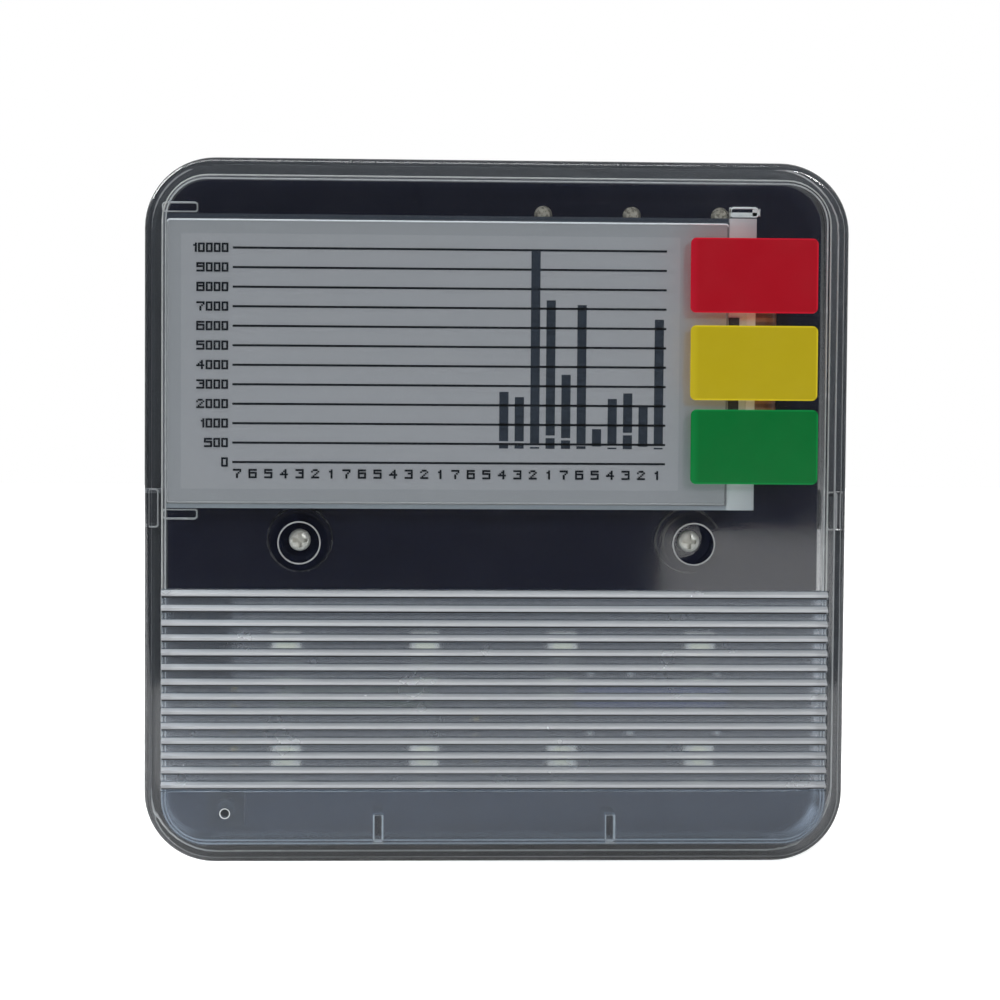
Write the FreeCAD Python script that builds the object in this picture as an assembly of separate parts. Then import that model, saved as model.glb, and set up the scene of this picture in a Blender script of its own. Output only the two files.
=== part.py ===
import FreeCAD, Part
import math
import os

# Wall-mounted carbon dioxide controller with a clear front cover, in millimetres.
# X runs to the right across the front, Z is up, and the front faces -Y.
# The origin is the middle of the underside. Depths below are measured along +Y.

Vector = FreeCAD.Vector

# Case
case_width = 86.0
case_height = 86.0
case_depth = 26.0
corner_radius = 8.6
cavity_corner = 5.5
skirt_depth = 14.0
cover_wall = 2.0
cover_plate = 2.0
front_edge_round = 0.9
parting_gap = 0.1
shell_back_wall = 2.0
shell_tongue_wall = 1.0
tongue_gap = 0.15
shell_back_step = 3.0
shell_back_inset = 1.5
shell_edge_round = 0.6

# Louvres across the lower part of the cover
louvre_pitch = 1.81
louvre_drop = 5.75
louvre_strip = 7.5
louvre_height = 0.83
louvre_crest = 0.35
louvre_recess = 0.9
louvre_lip = 0.45
louvre_slot = 0.4
louvre_groove = 0.08
louvre_end_margin = 1.3

# Side lugs of the shell in notches of the cover
notch_height = 4.9
lug_side_gap = 0.15
lug_front_gap = 0.4
lug_proud = 0.15
lug_chamfer = 0.5
lug_above_middle = 0.1

# Cover screws, wells and posts
screw_spacing = 48.4
screw_drop = 4.1
well_diameter = 5.3
well_wall = 0.85
well_floor = 1.6
screw_diameter = 2.0
screw_length = 8.0
screw_head_diameter = 2.7
screw_head_height = 1.3
screw_head_round = 0.8
screw_recess_width = 0.5
screw_recess_span = 1.8
screw_recess_depth = 0.7
screw_hole_gap = 0.15
insert_length = 4.0
insert_wall = 0.6
insert_running_gap = 0.04
fit_gap = 0.03
post_diameter = 5.6
post_hole_depth = 9.0
post_hole_gap = 0.15

# Ribs inside the cover
stop_rib_spacing = 28.7
stop_rib_width = 1.3
stop_rib_top = 5.6
left_locator_length = 4.4
right_locator_length = 3.6
locator_height = 1.3
locator_gap = 0.1
locator_past_glass = 0.6
right_locator_inset = 3.3

# Pinhole over the small switch, from the left wall and the underside
pinhole_from_left = 7.85
pinhole_z = 6.0
pinhole_diameter = 1.3

# Coloured labels on the cover, placed from its inner right wall and inner top wall
label_thickness = 0.1
label_width = 15.7
label_height = 9.15
label_corner = 0.7
label_places = {"red": (9.7, 11.75), "yellow": (9.63, 22.45), "green": (9.5, 32.75)}

# Display stack
display_height = 35.9
display_side_gap = 0.4
display_right_room = 9.2
display_top_room = 4.75
display_front_gap = 0.2
sheet_thickness = 0.2
film_thickness = 0.35
glass_thickness = 0.5
tape_thickness = 0.4
spacer_height = 4.1
film_side_margin = 0.1
film_edge_margin = 0.55
film_ledge = 3.4
sheet_margin = 0.2
driver_chip_width = 1.3
driver_chip_length = 11.6
driver_chip_height = 0.3
driver_chip_gap = 0.05
spacer_wall = 1.6
spacer_margin = 1.0
spacer_connector_gap = 1.6
spacer_bar_count = 2

# Flat ribbon and its connector
ribbon_width = 13.0
ribbon_thickness = 0.15
ribbon_bond = 1.15
ribbon_reach = 0.7
ribbon_connector_gap = 0.06
connector_inset = 9.67
connector_length = 5.5
connector_height = 2.0
connector_side_wall = 0.9
connector_block = 2.6
connector_sill = 0.5
connector_contact_depth = 2.0
latch_thickness = 0.8
latch_arm = 2.15
latch_pin_diameter = 0.6
latch_pin_length = 0.6
latch_gap = 0.05
latch_pin_inset = 0.65

# Main board
board_thickness = 1.6
board_edge_gap = 0.5
board_window_width = 20.0
board_window_height = 3.0
board_window_rise = 6.95

# Light emitters on the board
led_columns = 4
led_column_pitch = 17.2
led_lower_z = 12.4
led_upper_drop = 7.3
led_width = 3.5
led_depth = 2.8
led_height = 1.9
led_cup_diameter = 2.4
led_cup_depth = 0.8
led_lens_depth = 0.6

# Small switch behind the pinhole
switch_size = 4.5
switch_base_height = 2.4
switch_plate_thickness = 0.3
switch_plunger_diameter = 2.2
switch_plunger_flange = 3.0
switch_plunger_proud = 0.9
switch_travel = 0.25
switch_running_gap = 0.05
switch_floor = 0.5
switch_dome_thickness = 0.1

# Humidity sensor
humidity_from_left = 3.8
humidity_z = 19.5
humidity_size = 3.0
humidity_height = 1.0
humidity_window = 1.2
humidity_window_depth = 0.3

# Carbon dioxide sensor module
co2_left_gap = 7.3
co2_z = 15.6
co2_board_width = 33.0
co2_board_height = 20.0
co2_board_thickness = 1.0
co2_standoff = 2.5
co2_housing_width = 26.0
co2_housing_height = 17.6
co2_housing_depth = 7.6
co2_housing_corner = 1.5
co2_filter_diameter = 7.0
co2_filter_thickness = 0.5
co2_filter_recess = 0.4
co2_pin_size = 0.6
co2_pin_pitch = 2.54
co2_pin_counts = (5, 4)
co2_pin_inset = 1.4
co2_pin_proud = 0.8
co2_pin_gap = 0.2

# Radio module
radio_left_gap = 2.3
radio_top_gap = 8.55
radio_width = 18.0
radio_height = 25.5
radio_board_thickness = 0.8
radio_shield_width = 15.8
radio_shield_height = 17.6
radio_shield_depth = 2.4
radio_shield_wall = 0.3
radio_shield_margin = 1.1
radio_shield_corner = 0.5

# Relay
relay_from_right = 20.8
relay_z = 19.0
relay_width = 20.3
relay_height = 10.4
relay_depth = 12.0
relay_edge = 0.6
relay_pin_diameter = 0.8
relay_pin_proud = 1.0
relay_pin_x = (-8.0, -3.0, 8.0)
relay_pin_z = 3.7
lead_hole_gap = 0.1

# Screw terminals for the wires
terminal_from_right = 24.15
terminal_from_top = 4.4
terminal_pitch = 11.05
terminal_count = 3
terminal_height = 10.6
terminal_depth = 10.2
terminal_pin_from_top = 2.0
terminal_end_wall = 1.0
terminal_cell_width = 6.6
terminal_cell_height = 7.0
terminal_cell_depth = 6.4
terminal_cell_floor = 1.2
terminal_screw_diameter = 3.0
terminal_head_diameter = 4.0
terminal_head_height = 1.4
terminal_screw_slot = 0.7
terminal_screw_slot_depth = 0.6
terminal_well_gap = 0.2
terminal_cage_wall = 0.8
terminal_cage_gap = 0.1
terminal_pin_diameter = 1.3
solder_diameter = 2.25
solder_top_diameter = 1.5
solder_height = 0.9

# Power parts, placed from the inner right wall and inner top wall
inductor_from_right = 9.3
inductor_from_top = 22.8
inductor_size = 10.2
inductor_height = 4.6
inductor_corner = 2.0
inductor_waist = 0.9
low_capacitor_from_right = 8.8
low_capacitor_from_top = 33.3
high_capacitor_from_top = 10.3
capacitor_diameter = 8.0
capacitor_can_height = 8.6
capacitor_base_size = 8.3
capacitor_base_height = 1.4
capacitor_rim_round = 0.5

# Chips and small parts on the back of the board, with heights from the screws' line
middle_chip_rise = 4.0
left_chip_x = -14.0
left_chip_rise = 6.5
right_chip_from_screw = 6.8
right_chip_drop = 2.5
chip_width = 5.0
chip_height = 4.0
chip_body_height = 1.5
chip_lift = 0.15
chip_lead_count = 4
chip_lead_pitch = 1.27
chip_lead_width = 0.4
chip_lead_reach = 1.0
chip_lead_thickness = 0.2
small_part_rows = (("capacitors", -14.0, -0.9), ("capacitors", -6.0, -3.5),
                   ("resistors", -14.0, 11.5), ("resistors", -6.0, -6.5))
small_part_count = 6
small_part_pitch = 2.6
small_part_length = 1.6
small_part_width = 0.8
small_part_heights = {"capacitors": 0.8, "resistors": 0.45}

# Openings in the back and the shell's edges
wire_opening_x = 8.0
wire_opening_from_top = 24.8
wire_opening_width = 30.0
wire_opening_height = 14.0
wire_opening_corner = 2.0
wall_slot_spacing = 60.0
wall_slot_width = 4.2
wall_slot_length = 6.0
vent_count = 9
vent_pitch = 6.0
vent_width = 1.6
vent_length = 5.5
vent_front_gap = 1.6

# Places worked out from the sizes above
front_y = -case_depth / 2 + label_thickness
back_y = case_depth / 2
plate_back_y = front_y + cover_plate
skirt_end_y = front_y + skirt_depth
shell_front_y = skirt_end_y + parting_gap
back_wall_y = back_y - shell_back_wall
inner_half = case_width / 2 - cover_wall
inner_top = case_height - cover_wall
sheet_y = plate_back_y + display_front_gap
film_y = sheet_y + sheet_thickness
glass_y = film_y + film_thickness
tape_y = glass_y + glass_thickness
spacer_y = tape_y + tape_thickness
board_y = spacer_y + spacer_height
board_back_y = board_y + board_thickness
notch_y = board_back_y
display_left = -inner_half + display_side_gap
display_right = inner_half - display_right_room
display_top_z = inner_top - display_top_room
display_bottom_z = display_top_z - display_height
display_centre_z = (display_bottom_z + display_top_z) / 2
film_left = display_left + film_side_margin
film_right = display_right - film_ledge
well_floor_y = board_y - well_floor
boss_diameter = well_diameter + 2 * well_wall
screw_x = (-screw_spacing / 2, screw_spacing / 2)
screw_z = display_bottom_z - screw_drop
louvre_top = screw_z - louvre_drop
louvre_count = int((louvre_top - louvre_strip) / louvre_pitch)
led_row_z = (led_lower_z, louvre_top - led_upper_drop)
lug_centre_z = case_height / 2 + lug_above_middle
insert_bore = screw_diameter + 2 * insert_running_gap
insert_diameter = insert_bore + 2 * insert_wall
tongue_half = inner_half - tongue_gap
shell_wall = cover_wall + tongue_gap + shell_tongue_wall
ribbon_front_y = glass_y - ribbon_thickness
connector_x = display_right - connector_inset
connector_front_y = board_y - connector_height
ribbon_back_y = board_y - connector_height / 2
spacer_x = display_left + spacer_margin
spacer_end_x = connector_x - spacer_connector_gap
pinhole_x = -inner_half + pinhole_from_left
humidity_x = -inner_half + humidity_from_left
co2_x = -inner_half + co2_left_gap + co2_board_width / 2
relay_x = inner_half - relay_from_right
radio_x = -inner_half + radio_left_gap + radio_width / 2
radio_z = inner_top - radio_top_gap - radio_height / 2
terminal_x = inner_half - terminal_from_right
terminal_half = terminal_count * terminal_pitch / 2 + terminal_end_wall
terminal_pin_z = inner_top - terminal_from_top
inductor_x = inner_half - inductor_from_right
inductor_z = inner_top - inductor_from_top
high_capacitor_x = (radio_x + radio_width / 2 + terminal_x - terminal_half) / 2
capacitor_places = ((inner_half - low_capacitor_from_right, inner_top - low_capacitor_from_top),
                    (high_capacitor_x, inner_top - high_capacitor_from_top))
chip_places = ((0, screw_z + middle_chip_rise), (left_chip_x, screw_z + left_chip_rise),
               (screw_x[1] + right_chip_from_screw, screw_z - right_chip_drop))
wire_opening_z = inner_top - wire_opening_from_top
terminal_pin_end_y = board_back_y + terminal_cell_floor / 2
switch_front_y = board_y - switch_base_height
dome_front_y = board_y - switch_floor - switch_dome_thickness
co2_housing_y = board_back_y + co2_standoff + co2_board_thickness
co2_back_y = co2_housing_y + co2_housing_depth

# How far a cutting or joining shape runs past a face, and the test for a flat edge
through = 0.5
tolerance = 1e-3


def box(x0, x1, y0, y1, z0, z1):
    return Part.makeBox(x1 - x0, y1 - y0, z1 - z0, Vector(x0, y0, z0))


def centred_box(x, z, width, height, y0, y1):
    return box(x - width / 2, x + width / 2, y0, y1, z - height / 2, z + height / 2)


def rod(x, z, diameter, y0, y1):
    return Part.makeCylinder(diameter / 2, y1 - y0, Vector(x, y0, z), Vector(0, 1, 0))


def slab(x, z, width, height, corner, y0, y1):
    """A plate with rounded corners, seen from the front."""
    plate = centred_box(x, z, width, height, y0, y1)
    upright = [edge for edge in plate.Edges if edge.BoundBox.YLength > (y1 - y0) / 2]
    return plate.makeFillet(corner, upright)


def oblong(x, z, length, width, y0, y1):
    """A bar along X with round ends, seen from the front."""
    reach = (length - width) / 2
    middle = centred_box(x, z, length - width, width, y0, y1)
    return middle.fuse([rod(x - reach, z, width, y0, y1), rod(x + reach, z, width, y0, y1)])


def case_slab(inset, y0, y1):
    """A slab that follows the case's outline, drawn in by the inset."""
    return slab(0, case_height / 2, case_width - 2 * inset, case_height - 2 * inset,
                corner_radius - inset, y0, y1)


def cavity_slab(gap, y0, y1):
    """A slab that follows the inside of the cover, drawn in by the gap."""
    inset = cover_wall + gap
    return slab(0, case_height / 2, case_width - 2 * inset, case_height - 2 * inset,
                cavity_corner - gap, y0, y1)


def edges_at(shape, y):
    """The edges of a shape that lie in one plane across the depth."""
    return [edge for edge in shape.Edges
            if abs(edge.BoundBox.YMin - y) < tolerance and abs(edge.BoundBox.YMax - y) < tolerance]


def prism(points, x0, x1):
    """A straight bar along X from its outline in Y and Z."""
    outline = [Vector(x0, y, z) for y, z in points]
    face = Part.Face(Part.makePolygon(outline + outline[:1]))
    return face.extrude(Vector(x1 - x0, 0, 0))


def export(name, shape):
    shape.exportStep(os.path.join("parts", name + ".step"))
    print(name, len(shape.Solids), round(shape.Volume, 2))


def group(solids):
    return Part.makeCompound(solids)


def louvre_bottoms():
    return [louvre_top - louvre_height - i * louvre_pitch for i in range(louvre_count)]


def make_front_cover():
    outer = case_slab(0, front_y, skirt_end_y)
    outer = outer.makeFillet(front_edge_round, edges_at(outer, front_y))
    cover = outer.cut(cavity_slab(0, plate_back_y, skirt_end_y + through))

    recess_top = louvre_top + louvre_groove
    recess_bottom = louvre_bottoms()[-1] - louvre_lip
    recess_y = front_y + louvre_recess
    cover = cover.cut(box(-inner_half, inner_half, front_y - through, recess_y,
                          recess_bottom, recess_top))
    fins = []
    slots = []
    slot_half = inner_half - louvre_end_margin
    for bottom in louvre_bottoms():
        outline = [(front_y, bottom), (front_y, bottom + louvre_crest),
                   (recess_y, bottom + louvre_height), (plate_back_y, bottom + louvre_height),
                   (plate_back_y, bottom)]
        fins.append(prism(outline, -inner_half, inner_half))
        slots.append(box(-slot_half, slot_half, front_y + louvre_lip, plate_back_y + through,
                         bottom, bottom + louvre_slot))
    cover = cover.fuse(fins).cut(slots)

    added = []
    for x in screw_x:
        added.append(rod(x, screw_z, boss_diameter, plate_back_y - through, board_y))
    for x in (-stop_rib_spacing / 2, stop_rib_spacing / 2):
        added.append(box(x - stop_rib_width / 2, x + stop_rib_width / 2,
                         plate_back_y - through, board_y, cover_wall - through, stop_rib_top))
    locator_back_y = tape_y + locator_past_glass
    upper_z = display_top_z + locator_gap
    lower_z = display_bottom_z - locator_gap - locator_height
    locators = ((-inner_half - through, -inner_half + left_locator_length, upper_z),
                (-inner_half - through, -inner_half + left_locator_length, lower_z),
                (display_right - right_locator_inset,
                 display_right - right_locator_inset + right_locator_length, upper_z))
    for x0, x1, z in locators:
        added.append(box(x0, x1, plate_back_y - through, locator_back_y, z, z + locator_height))
    cover = cover.fuse(added)

    removed = []
    for x in screw_x:
        removed.append(rod(x, screw_z, well_diameter, front_y - through, well_floor_y))
        removed.append(rod(x, screw_z, screw_diameter + 2 * screw_hole_gap,
                           well_floor_y - through, board_y + through))
    removed.append(rod(pinhole_x, pinhole_z, pinhole_diameter,
                       front_y - through, plate_back_y + through))
    for side in (-1, 1):
        x0, x1 = sorted((side * (inner_half - through), side * (case_width / 2 + through)))
        removed.append(box(x0, x1, notch_y, skirt_end_y + through,
                           lug_centre_z - notch_height / 2, lug_centre_z + notch_height / 2))
    return cover.cut(removed).removeSplitter()


def make_label(from_right, from_top):
    return slab(inner_half - from_right, inner_top - from_top, label_width, label_height,
                label_corner, front_y - label_thickness, front_y)


def make_cover_screw(x):
    head_y = well_floor_y - screw_head_height
    head = rod(x, screw_z, screw_head_diameter, head_y, well_floor_y)
    head = head.makeFillet(screw_head_round, edges_at(head, head_y))
    shank = rod(x, screw_z, screw_diameter, well_floor_y - through, well_floor_y + screw_length)
    screw = head.fuse(shank)
    bottom_y = head_y + screw_recess_depth
    for width, height in ((screw_recess_span, screw_recess_width),
                          (screw_recess_width, screw_recess_span)):
        screw = screw.cut(centred_box(x, screw_z, width, height, head_y - through, bottom_y))
    return screw.removeSplitter()


def make_rear_shell():
    step_y = back_y - shell_back_step
    front_part = case_slab(0, shell_front_y, step_y)
    back_part = case_slab(shell_back_inset, step_y - through, back_y)
    back_part = back_part.makeFillet(shell_edge_round, edges_at(back_part, back_y))
    tongue = cavity_slab(tongue_gap, board_back_y, shell_front_y + through)
    shell = front_part.fuse([back_part, tongue])
    shell = shell.cut(cavity_slab(tongue_gap + shell_tongue_wall, board_back_y - through,
                                  back_wall_y))

    added = []
    lug_half = notch_height / 2 - lug_side_gap
    lug_front_y = notch_y + lug_front_gap
    lug_outline = [(y, lug_centre_z + z) for y, z in (
        (shell_front_y + through, -lug_half),
        (shell_front_y + through, lug_half),
        (lug_front_y + lug_chamfer, lug_half),
        (lug_front_y, lug_half - lug_chamfer),
        (lug_front_y, lug_chamfer - lug_half),
        (lug_front_y + lug_chamfer, -lug_half))]
    for side in (-1, 1):
        x0, x1 = sorted((side * (tongue_half - through), side * (case_width / 2 + lug_proud)))
        added.append(prism(lug_outline, x0, x1))
    for x in screw_x:
        added.append(rod(x, screw_z, post_diameter, board_back_y, back_wall_y + through))
    shell = shell.fuse(added)

    removed = []
    for x in screw_x:
        removed.append(rod(x, screw_z, insert_diameter + 2 * fit_gap,
                           board_back_y - through, board_back_y + insert_length))
        removed.append(rod(x, screw_z, screw_diameter + 2 * post_hole_gap,
                           board_back_y, board_back_y + post_hole_depth))
    removed.append(slab(wire_opening_x, wire_opening_z, wire_opening_width, wire_opening_height,
                        wire_opening_corner, back_wall_y - through, back_y + through))
    for x in (-wall_slot_spacing / 2, wall_slot_spacing / 2):
        removed.append(oblong(x, case_height / 2, wall_slot_length, wall_slot_width,
                              back_wall_y - through, back_y + through))
    vent_y = shell_front_y + vent_front_gap
    for i in range(vent_count):
        x = (i - (vent_count - 1) / 2) * vent_pitch
        for z in (0, case_height):
            removed.append(box(x - vent_width / 2, x + vent_width / 2, vent_y, vent_y + vent_length,
                               z - shell_wall - through, z + shell_wall + through))
    return shell.cut(removed).removeSplitter()


def make_screw_insert(x):
    sleeve = rod(x, screw_z, insert_diameter, board_back_y, board_back_y + insert_length)
    return sleeve.cut(rod(x, screw_z, insert_bore, board_back_y - through,
                          board_back_y + insert_length + through))


def led_places():
    columns = [(i - (led_columns - 1) / 2) * led_column_pitch for i in range(led_columns)]
    return [(x, z) for z in led_row_z for x in columns]


def co2_pin_places():
    places = []
    for side, count in zip((-1, 1), co2_pin_counts):
        x = co2_x + side * (co2_board_width / 2 - co2_pin_inset)
        for i in range(count):
            places.append((x, co2_z + (i - (count - 1) / 2) * co2_pin_pitch))
    return places


def relay_pin_places():
    return [(relay_x + x, relay_z + side * relay_pin_z) for x in relay_pin_x for side in (-1, 1)]


def terminal_places():
    return [terminal_x + (i - (terminal_count - 1) / 2) * terminal_pitch
            for i in range(terminal_count)]


def make_main_board():
    board = cavity_slab(board_edge_gap, board_y, board_back_y)
    y0, y1 = board_y - through, board_back_y + through
    removed = [rod(x, screw_z, screw_diameter + 2 * screw_hole_gap, y0, y1) for x in screw_x]
    for x in (co2_x, relay_x):
        removed.append(oblong(x, led_lower_z + board_window_rise, board_window_width,
                              board_window_height, y0, y1))
    for x, z in co2_pin_places():
        removed.append(rod(x, z, co2_pin_size * math.sqrt(2) + 2 * co2_pin_gap, y0, y1))
    for x, z in relay_pin_places():
        removed.append(rod(x, z, relay_pin_diameter + 2 * lead_hole_gap, y0, y1))
    for x in terminal_places():
        removed.append(rod(x, terminal_pin_z, terminal_pin_diameter + 2 * lead_hole_gap, y0, y1))
    return board.cut(removed)


def make_display_glass():
    return box(display_left, display_right, glass_y, tape_y, display_bottom_z, display_top_z)


def make_display_film():
    return box(film_left, film_right, film_y, glass_y,
               display_bottom_z + film_edge_margin, display_top_z - film_edge_margin)


def make_display_sheet():
    return box(film_left + sheet_margin, film_right - sheet_margin, sheet_y, film_y,
               display_bottom_z + film_edge_margin + sheet_margin,
               display_top_z - film_edge_margin - sheet_margin)


def make_display_driver_chip():
    x0 = film_right + driver_chip_gap
    return box(x0, x0 + driver_chip_width, glass_y - driver_chip_height, glass_y,
               display_centre_z - driver_chip_length / 2, display_centre_z + driver_chip_length / 2)


def make_display_spacer():
    """Black frame between the display and the board, with bars across it."""
    z0 = display_bottom_z + spacer_margin
    z1 = display_top_z - spacer_margin
    frame = box(spacer_x, spacer_end_x, spacer_y, board_y, z0, z1)
    bay_count = spacer_bar_count + 1
    bay = (spacer_end_x - spacer_x - (bay_count + 1) * spacer_wall) / bay_count
    for i in range(bay_count):
        left = spacer_x + spacer_wall + i * (bay + spacer_wall)
        frame = frame.cut(box(left, left + bay, spacer_y - through, board_y + through,
                              z0 + spacer_wall, z1 - spacer_wall))
    return frame


def make_display_tape():
    z0 = display_bottom_z + spacer_margin
    z1 = display_top_z - spacer_margin
    tape = box(spacer_x, spacer_end_x, tape_y, spacer_y, z0, z1)
    return tape.cut(box(spacer_x + spacer_wall, spacer_end_x - spacer_wall, tape_y - through,
                        spacer_y + through, z0 + spacer_wall, z1 - spacer_wall))


def make_display_ribbon():
    """A ribbon bonded to the ledge, turned back under the display and into its connector."""
    bond_x = display_right - ribbon_bond
    bend_x = display_right + ribbon_reach
    tip_x = connector_x + connector_length - connector_contact_depth
    outer_front = ribbon_front_y
    outer_back = ribbon_back_y + ribbon_thickness / 2
    outer_radius = (outer_back - outer_front) / 2
    inner_radius = outer_radius - ribbon_thickness
    mid_y = (outer_front + outer_back) / 2

    def point(x, y):
        return Vector(x, y, display_centre_z - ribbon_width / 2)

    outer_arc = Part.Arc(point(bend_x, outer_front), point(bend_x + outer_radius, mid_y),
                         point(bend_x, outer_back))
    inner_arc = Part.Arc(point(bend_x, outer_back - ribbon_thickness),
                         point(bend_x + inner_radius, mid_y),
                         point(bend_x, outer_front + ribbon_thickness))
    edges = [Part.LineSegment(point(bond_x, outer_front), point(bend_x, outer_front)),
             outer_arc,
             Part.LineSegment(point(bend_x, outer_back), point(tip_x, outer_back)),
             Part.LineSegment(point(tip_x, outer_back), point(tip_x, outer_back - ribbon_thickness)),
             Part.LineSegment(point(tip_x, outer_back - ribbon_thickness),
                              point(bend_x, outer_back - ribbon_thickness)),
             inner_arc,
             Part.LineSegment(point(bend_x, outer_front + ribbon_thickness),
                              point(bond_x, outer_front + ribbon_thickness)),
             Part.LineSegment(point(bond_x, outer_front + ribbon_thickness),
                              point(bond_x, outer_front))]
    outline = Part.Wire([edge.toShape() for edge in edges])
    return Part.Face(outline).extrude(Vector(0, 0, ribbon_width))


def connector_span():
    """Low and high ends of the connector along Z, and of the bay between its cheeks."""
    half = ribbon_width / 2 + ribbon_connector_gap
    outer = half + connector_side_wall
    return (display_centre_z - outer, display_centre_z + outer,
            display_centre_z - half, display_centre_z + half)


def latch_pin_place():
    return connector_x + latch_pin_inset, connector_front_y + latch_thickness / 2 + latch_gap


def make_ribbon_connector():
    z0, z1, bay0, bay1 = connector_span()
    x1 = connector_x + connector_length
    block_x = x1 - connector_block
    body = box(connector_x, x1, connector_front_y, board_y, z0, z1)
    body = body.cut(box(connector_x - through, block_x, connector_front_y - through,
                        board_y - connector_sill, bay0, bay1))
    slot_half = ribbon_thickness / 2 + ribbon_connector_gap
    tip_x = x1 - connector_contact_depth
    body = body.cut(box(tip_x - ribbon_connector_gap, x1 + through, ribbon_back_y - slot_half,
                        ribbon_back_y + slot_half, bay0, bay1))
    pin_x, pin_y = latch_pin_place()
    hole = Part.makeCylinder(latch_pin_diameter / 2 + latch_gap,
                             bay1 - bay0 + 2 * (latch_pin_length + latch_gap),
                             Vector(pin_x, pin_y, bay0 - latch_pin_length - latch_gap))
    return body.cut(hole)


def make_ribbon_latch():
    bay0, bay1 = connector_span()[2:]
    pin_x, pin_y = latch_pin_place()
    bar = box(pin_x - latch_thickness / 2, pin_x + latch_arm, pin_y - latch_thickness / 2,
              pin_y + latch_thickness / 2, bay0 + latch_gap, bay1 - latch_gap)
    pin = Part.makeCylinder(latch_pin_diameter / 2, bay1 - bay0 + 2 * latch_pin_length,
                            Vector(pin_x, pin_y, bay0 - latch_pin_length))
    return bar.fuse(pin).removeSplitter()


def make_led_package(x, z):
    package = centred_box(x, z, led_width, led_depth, board_y - led_height, board_y)
    return package.cut(rod(x, z, led_cup_diameter, board_y - led_height - through,
                           board_y - led_height + led_cup_depth))


def make_led_lens(x, z):
    floor_y = board_y - led_height + led_cup_depth
    return rod(x, z, led_cup_diameter - 2 * fit_gap, floor_y - led_lens_depth, floor_y)


def make_switch_base():
    base = centred_box(pinhole_x, pinhole_z, switch_size, switch_size, switch_front_y, board_y)
    pocket = switch_plunger_flange + 2 * switch_running_gap
    return base.cut(rod(pinhole_x, pinhole_z, pocket, switch_front_y - through,
                        board_y - switch_floor))


def make_switch_plate():
    y0 = switch_front_y - switch_plate_thickness
    plate = centred_box(pinhole_x, pinhole_z, switch_size, switch_size, y0, switch_front_y)
    hole = switch_plunger_diameter + 2 * switch_running_gap
    return plate.cut(rod(pinhole_x, pinhole_z, hole, y0 - through, switch_front_y + through))


def make_switch_plunger():
    stem_y = switch_front_y - switch_plate_thickness - switch_plunger_proud
    flange_y = switch_front_y + switch_running_gap
    stem = rod(pinhole_x, pinhole_z, switch_plunger_diameter, stem_y, flange_y + through)
    flange = rod(pinhole_x, pinhole_z, switch_plunger_flange, flange_y,
                 dome_front_y - switch_travel - switch_running_gap)
    return stem.fuse(flange).removeSplitter()


def make_switch_dome():
    return rod(pinhole_x, pinhole_z, switch_plunger_flange, dome_front_y, board_y - switch_floor)


def make_humidity_sensor():
    y0 = board_y - humidity_height
    body = centred_box(humidity_x, humidity_z, humidity_size, humidity_size, y0, board_y)
    return body.cut(rod(humidity_x, humidity_z, humidity_window, y0 - through,
                        y0 + humidity_window_depth))


def make_co2_board():
    y0 = board_back_y + co2_standoff
    board = centred_box(co2_x, co2_z, co2_board_width, co2_board_height, y0, co2_housing_y)
    size = co2_pin_size + 2 * fit_gap
    holes = [centred_box(x, z, size, size, y0 - through, co2_housing_y + through)
             for x, z in co2_pin_places()]
    return board.cut(holes)


def make_co2_housing():
    housing = slab(co2_x, co2_z, co2_housing_width, co2_housing_height, co2_housing_corner,
                   co2_housing_y, co2_back_y)
    seat = co2_filter_diameter + 2 * fit_gap
    return housing.cut(rod(co2_x, co2_z, seat, co2_back_y - co2_filter_recess,
                           co2_back_y + through))


def make_co2_filter():
    seat_y = co2_back_y - co2_filter_recess
    return rod(co2_x, co2_z, co2_filter_diameter, seat_y, seat_y + co2_filter_thickness)


def make_co2_pins():
    return group([centred_box(x, z, co2_pin_size, co2_pin_size, board_y - co2_pin_proud,
                              co2_housing_y) for x, z in co2_pin_places()])


def make_radio_board():
    return centred_box(radio_x, radio_z, radio_width, radio_height, board_back_y,
                       board_back_y + radio_board_thickness)


def make_radio_shield():
    y0 = board_back_y + radio_board_thickness
    y1 = y0 + radio_shield_depth
    z = radio_z - radio_height / 2 + radio_shield_margin + radio_shield_height / 2
    shield = slab(radio_x, z, radio_shield_width, radio_shield_height, radio_shield_corner, y0, y1)
    inner_width = radio_shield_width - 2 * radio_shield_wall
    inner_height = radio_shield_height - 2 * radio_shield_wall
    return shield.cut(centred_box(radio_x, z, inner_width, inner_height, y0 - through,
                                  y1 - radio_shield_wall))


def make_relay_case():
    y1 = board_back_y + relay_depth
    case = centred_box(relay_x, relay_z, relay_width, relay_height, board_back_y, y1)
    case = case.makeFillet(relay_edge, edges_at(case, y1))
    holes = [rod(x, z, relay_pin_diameter + 2 * fit_gap, board_back_y - through,
                 board_back_y + relay_pin_proud) for x, z in relay_pin_places()]
    return case.cut(holes)


def make_relay_pins():
    return group([rod(x, z, relay_pin_diameter, board_y - relay_pin_proud,
                      board_back_y + relay_pin_proud) for x, z in relay_pin_places()])


def terminal_body_z():
    top = terminal_pin_z + terminal_pin_from_top
    return top - terminal_height, top


def terminal_cell_y():
    y0 = board_back_y + terminal_cell_floor
    return y0, y0 + terminal_cell_depth


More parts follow.
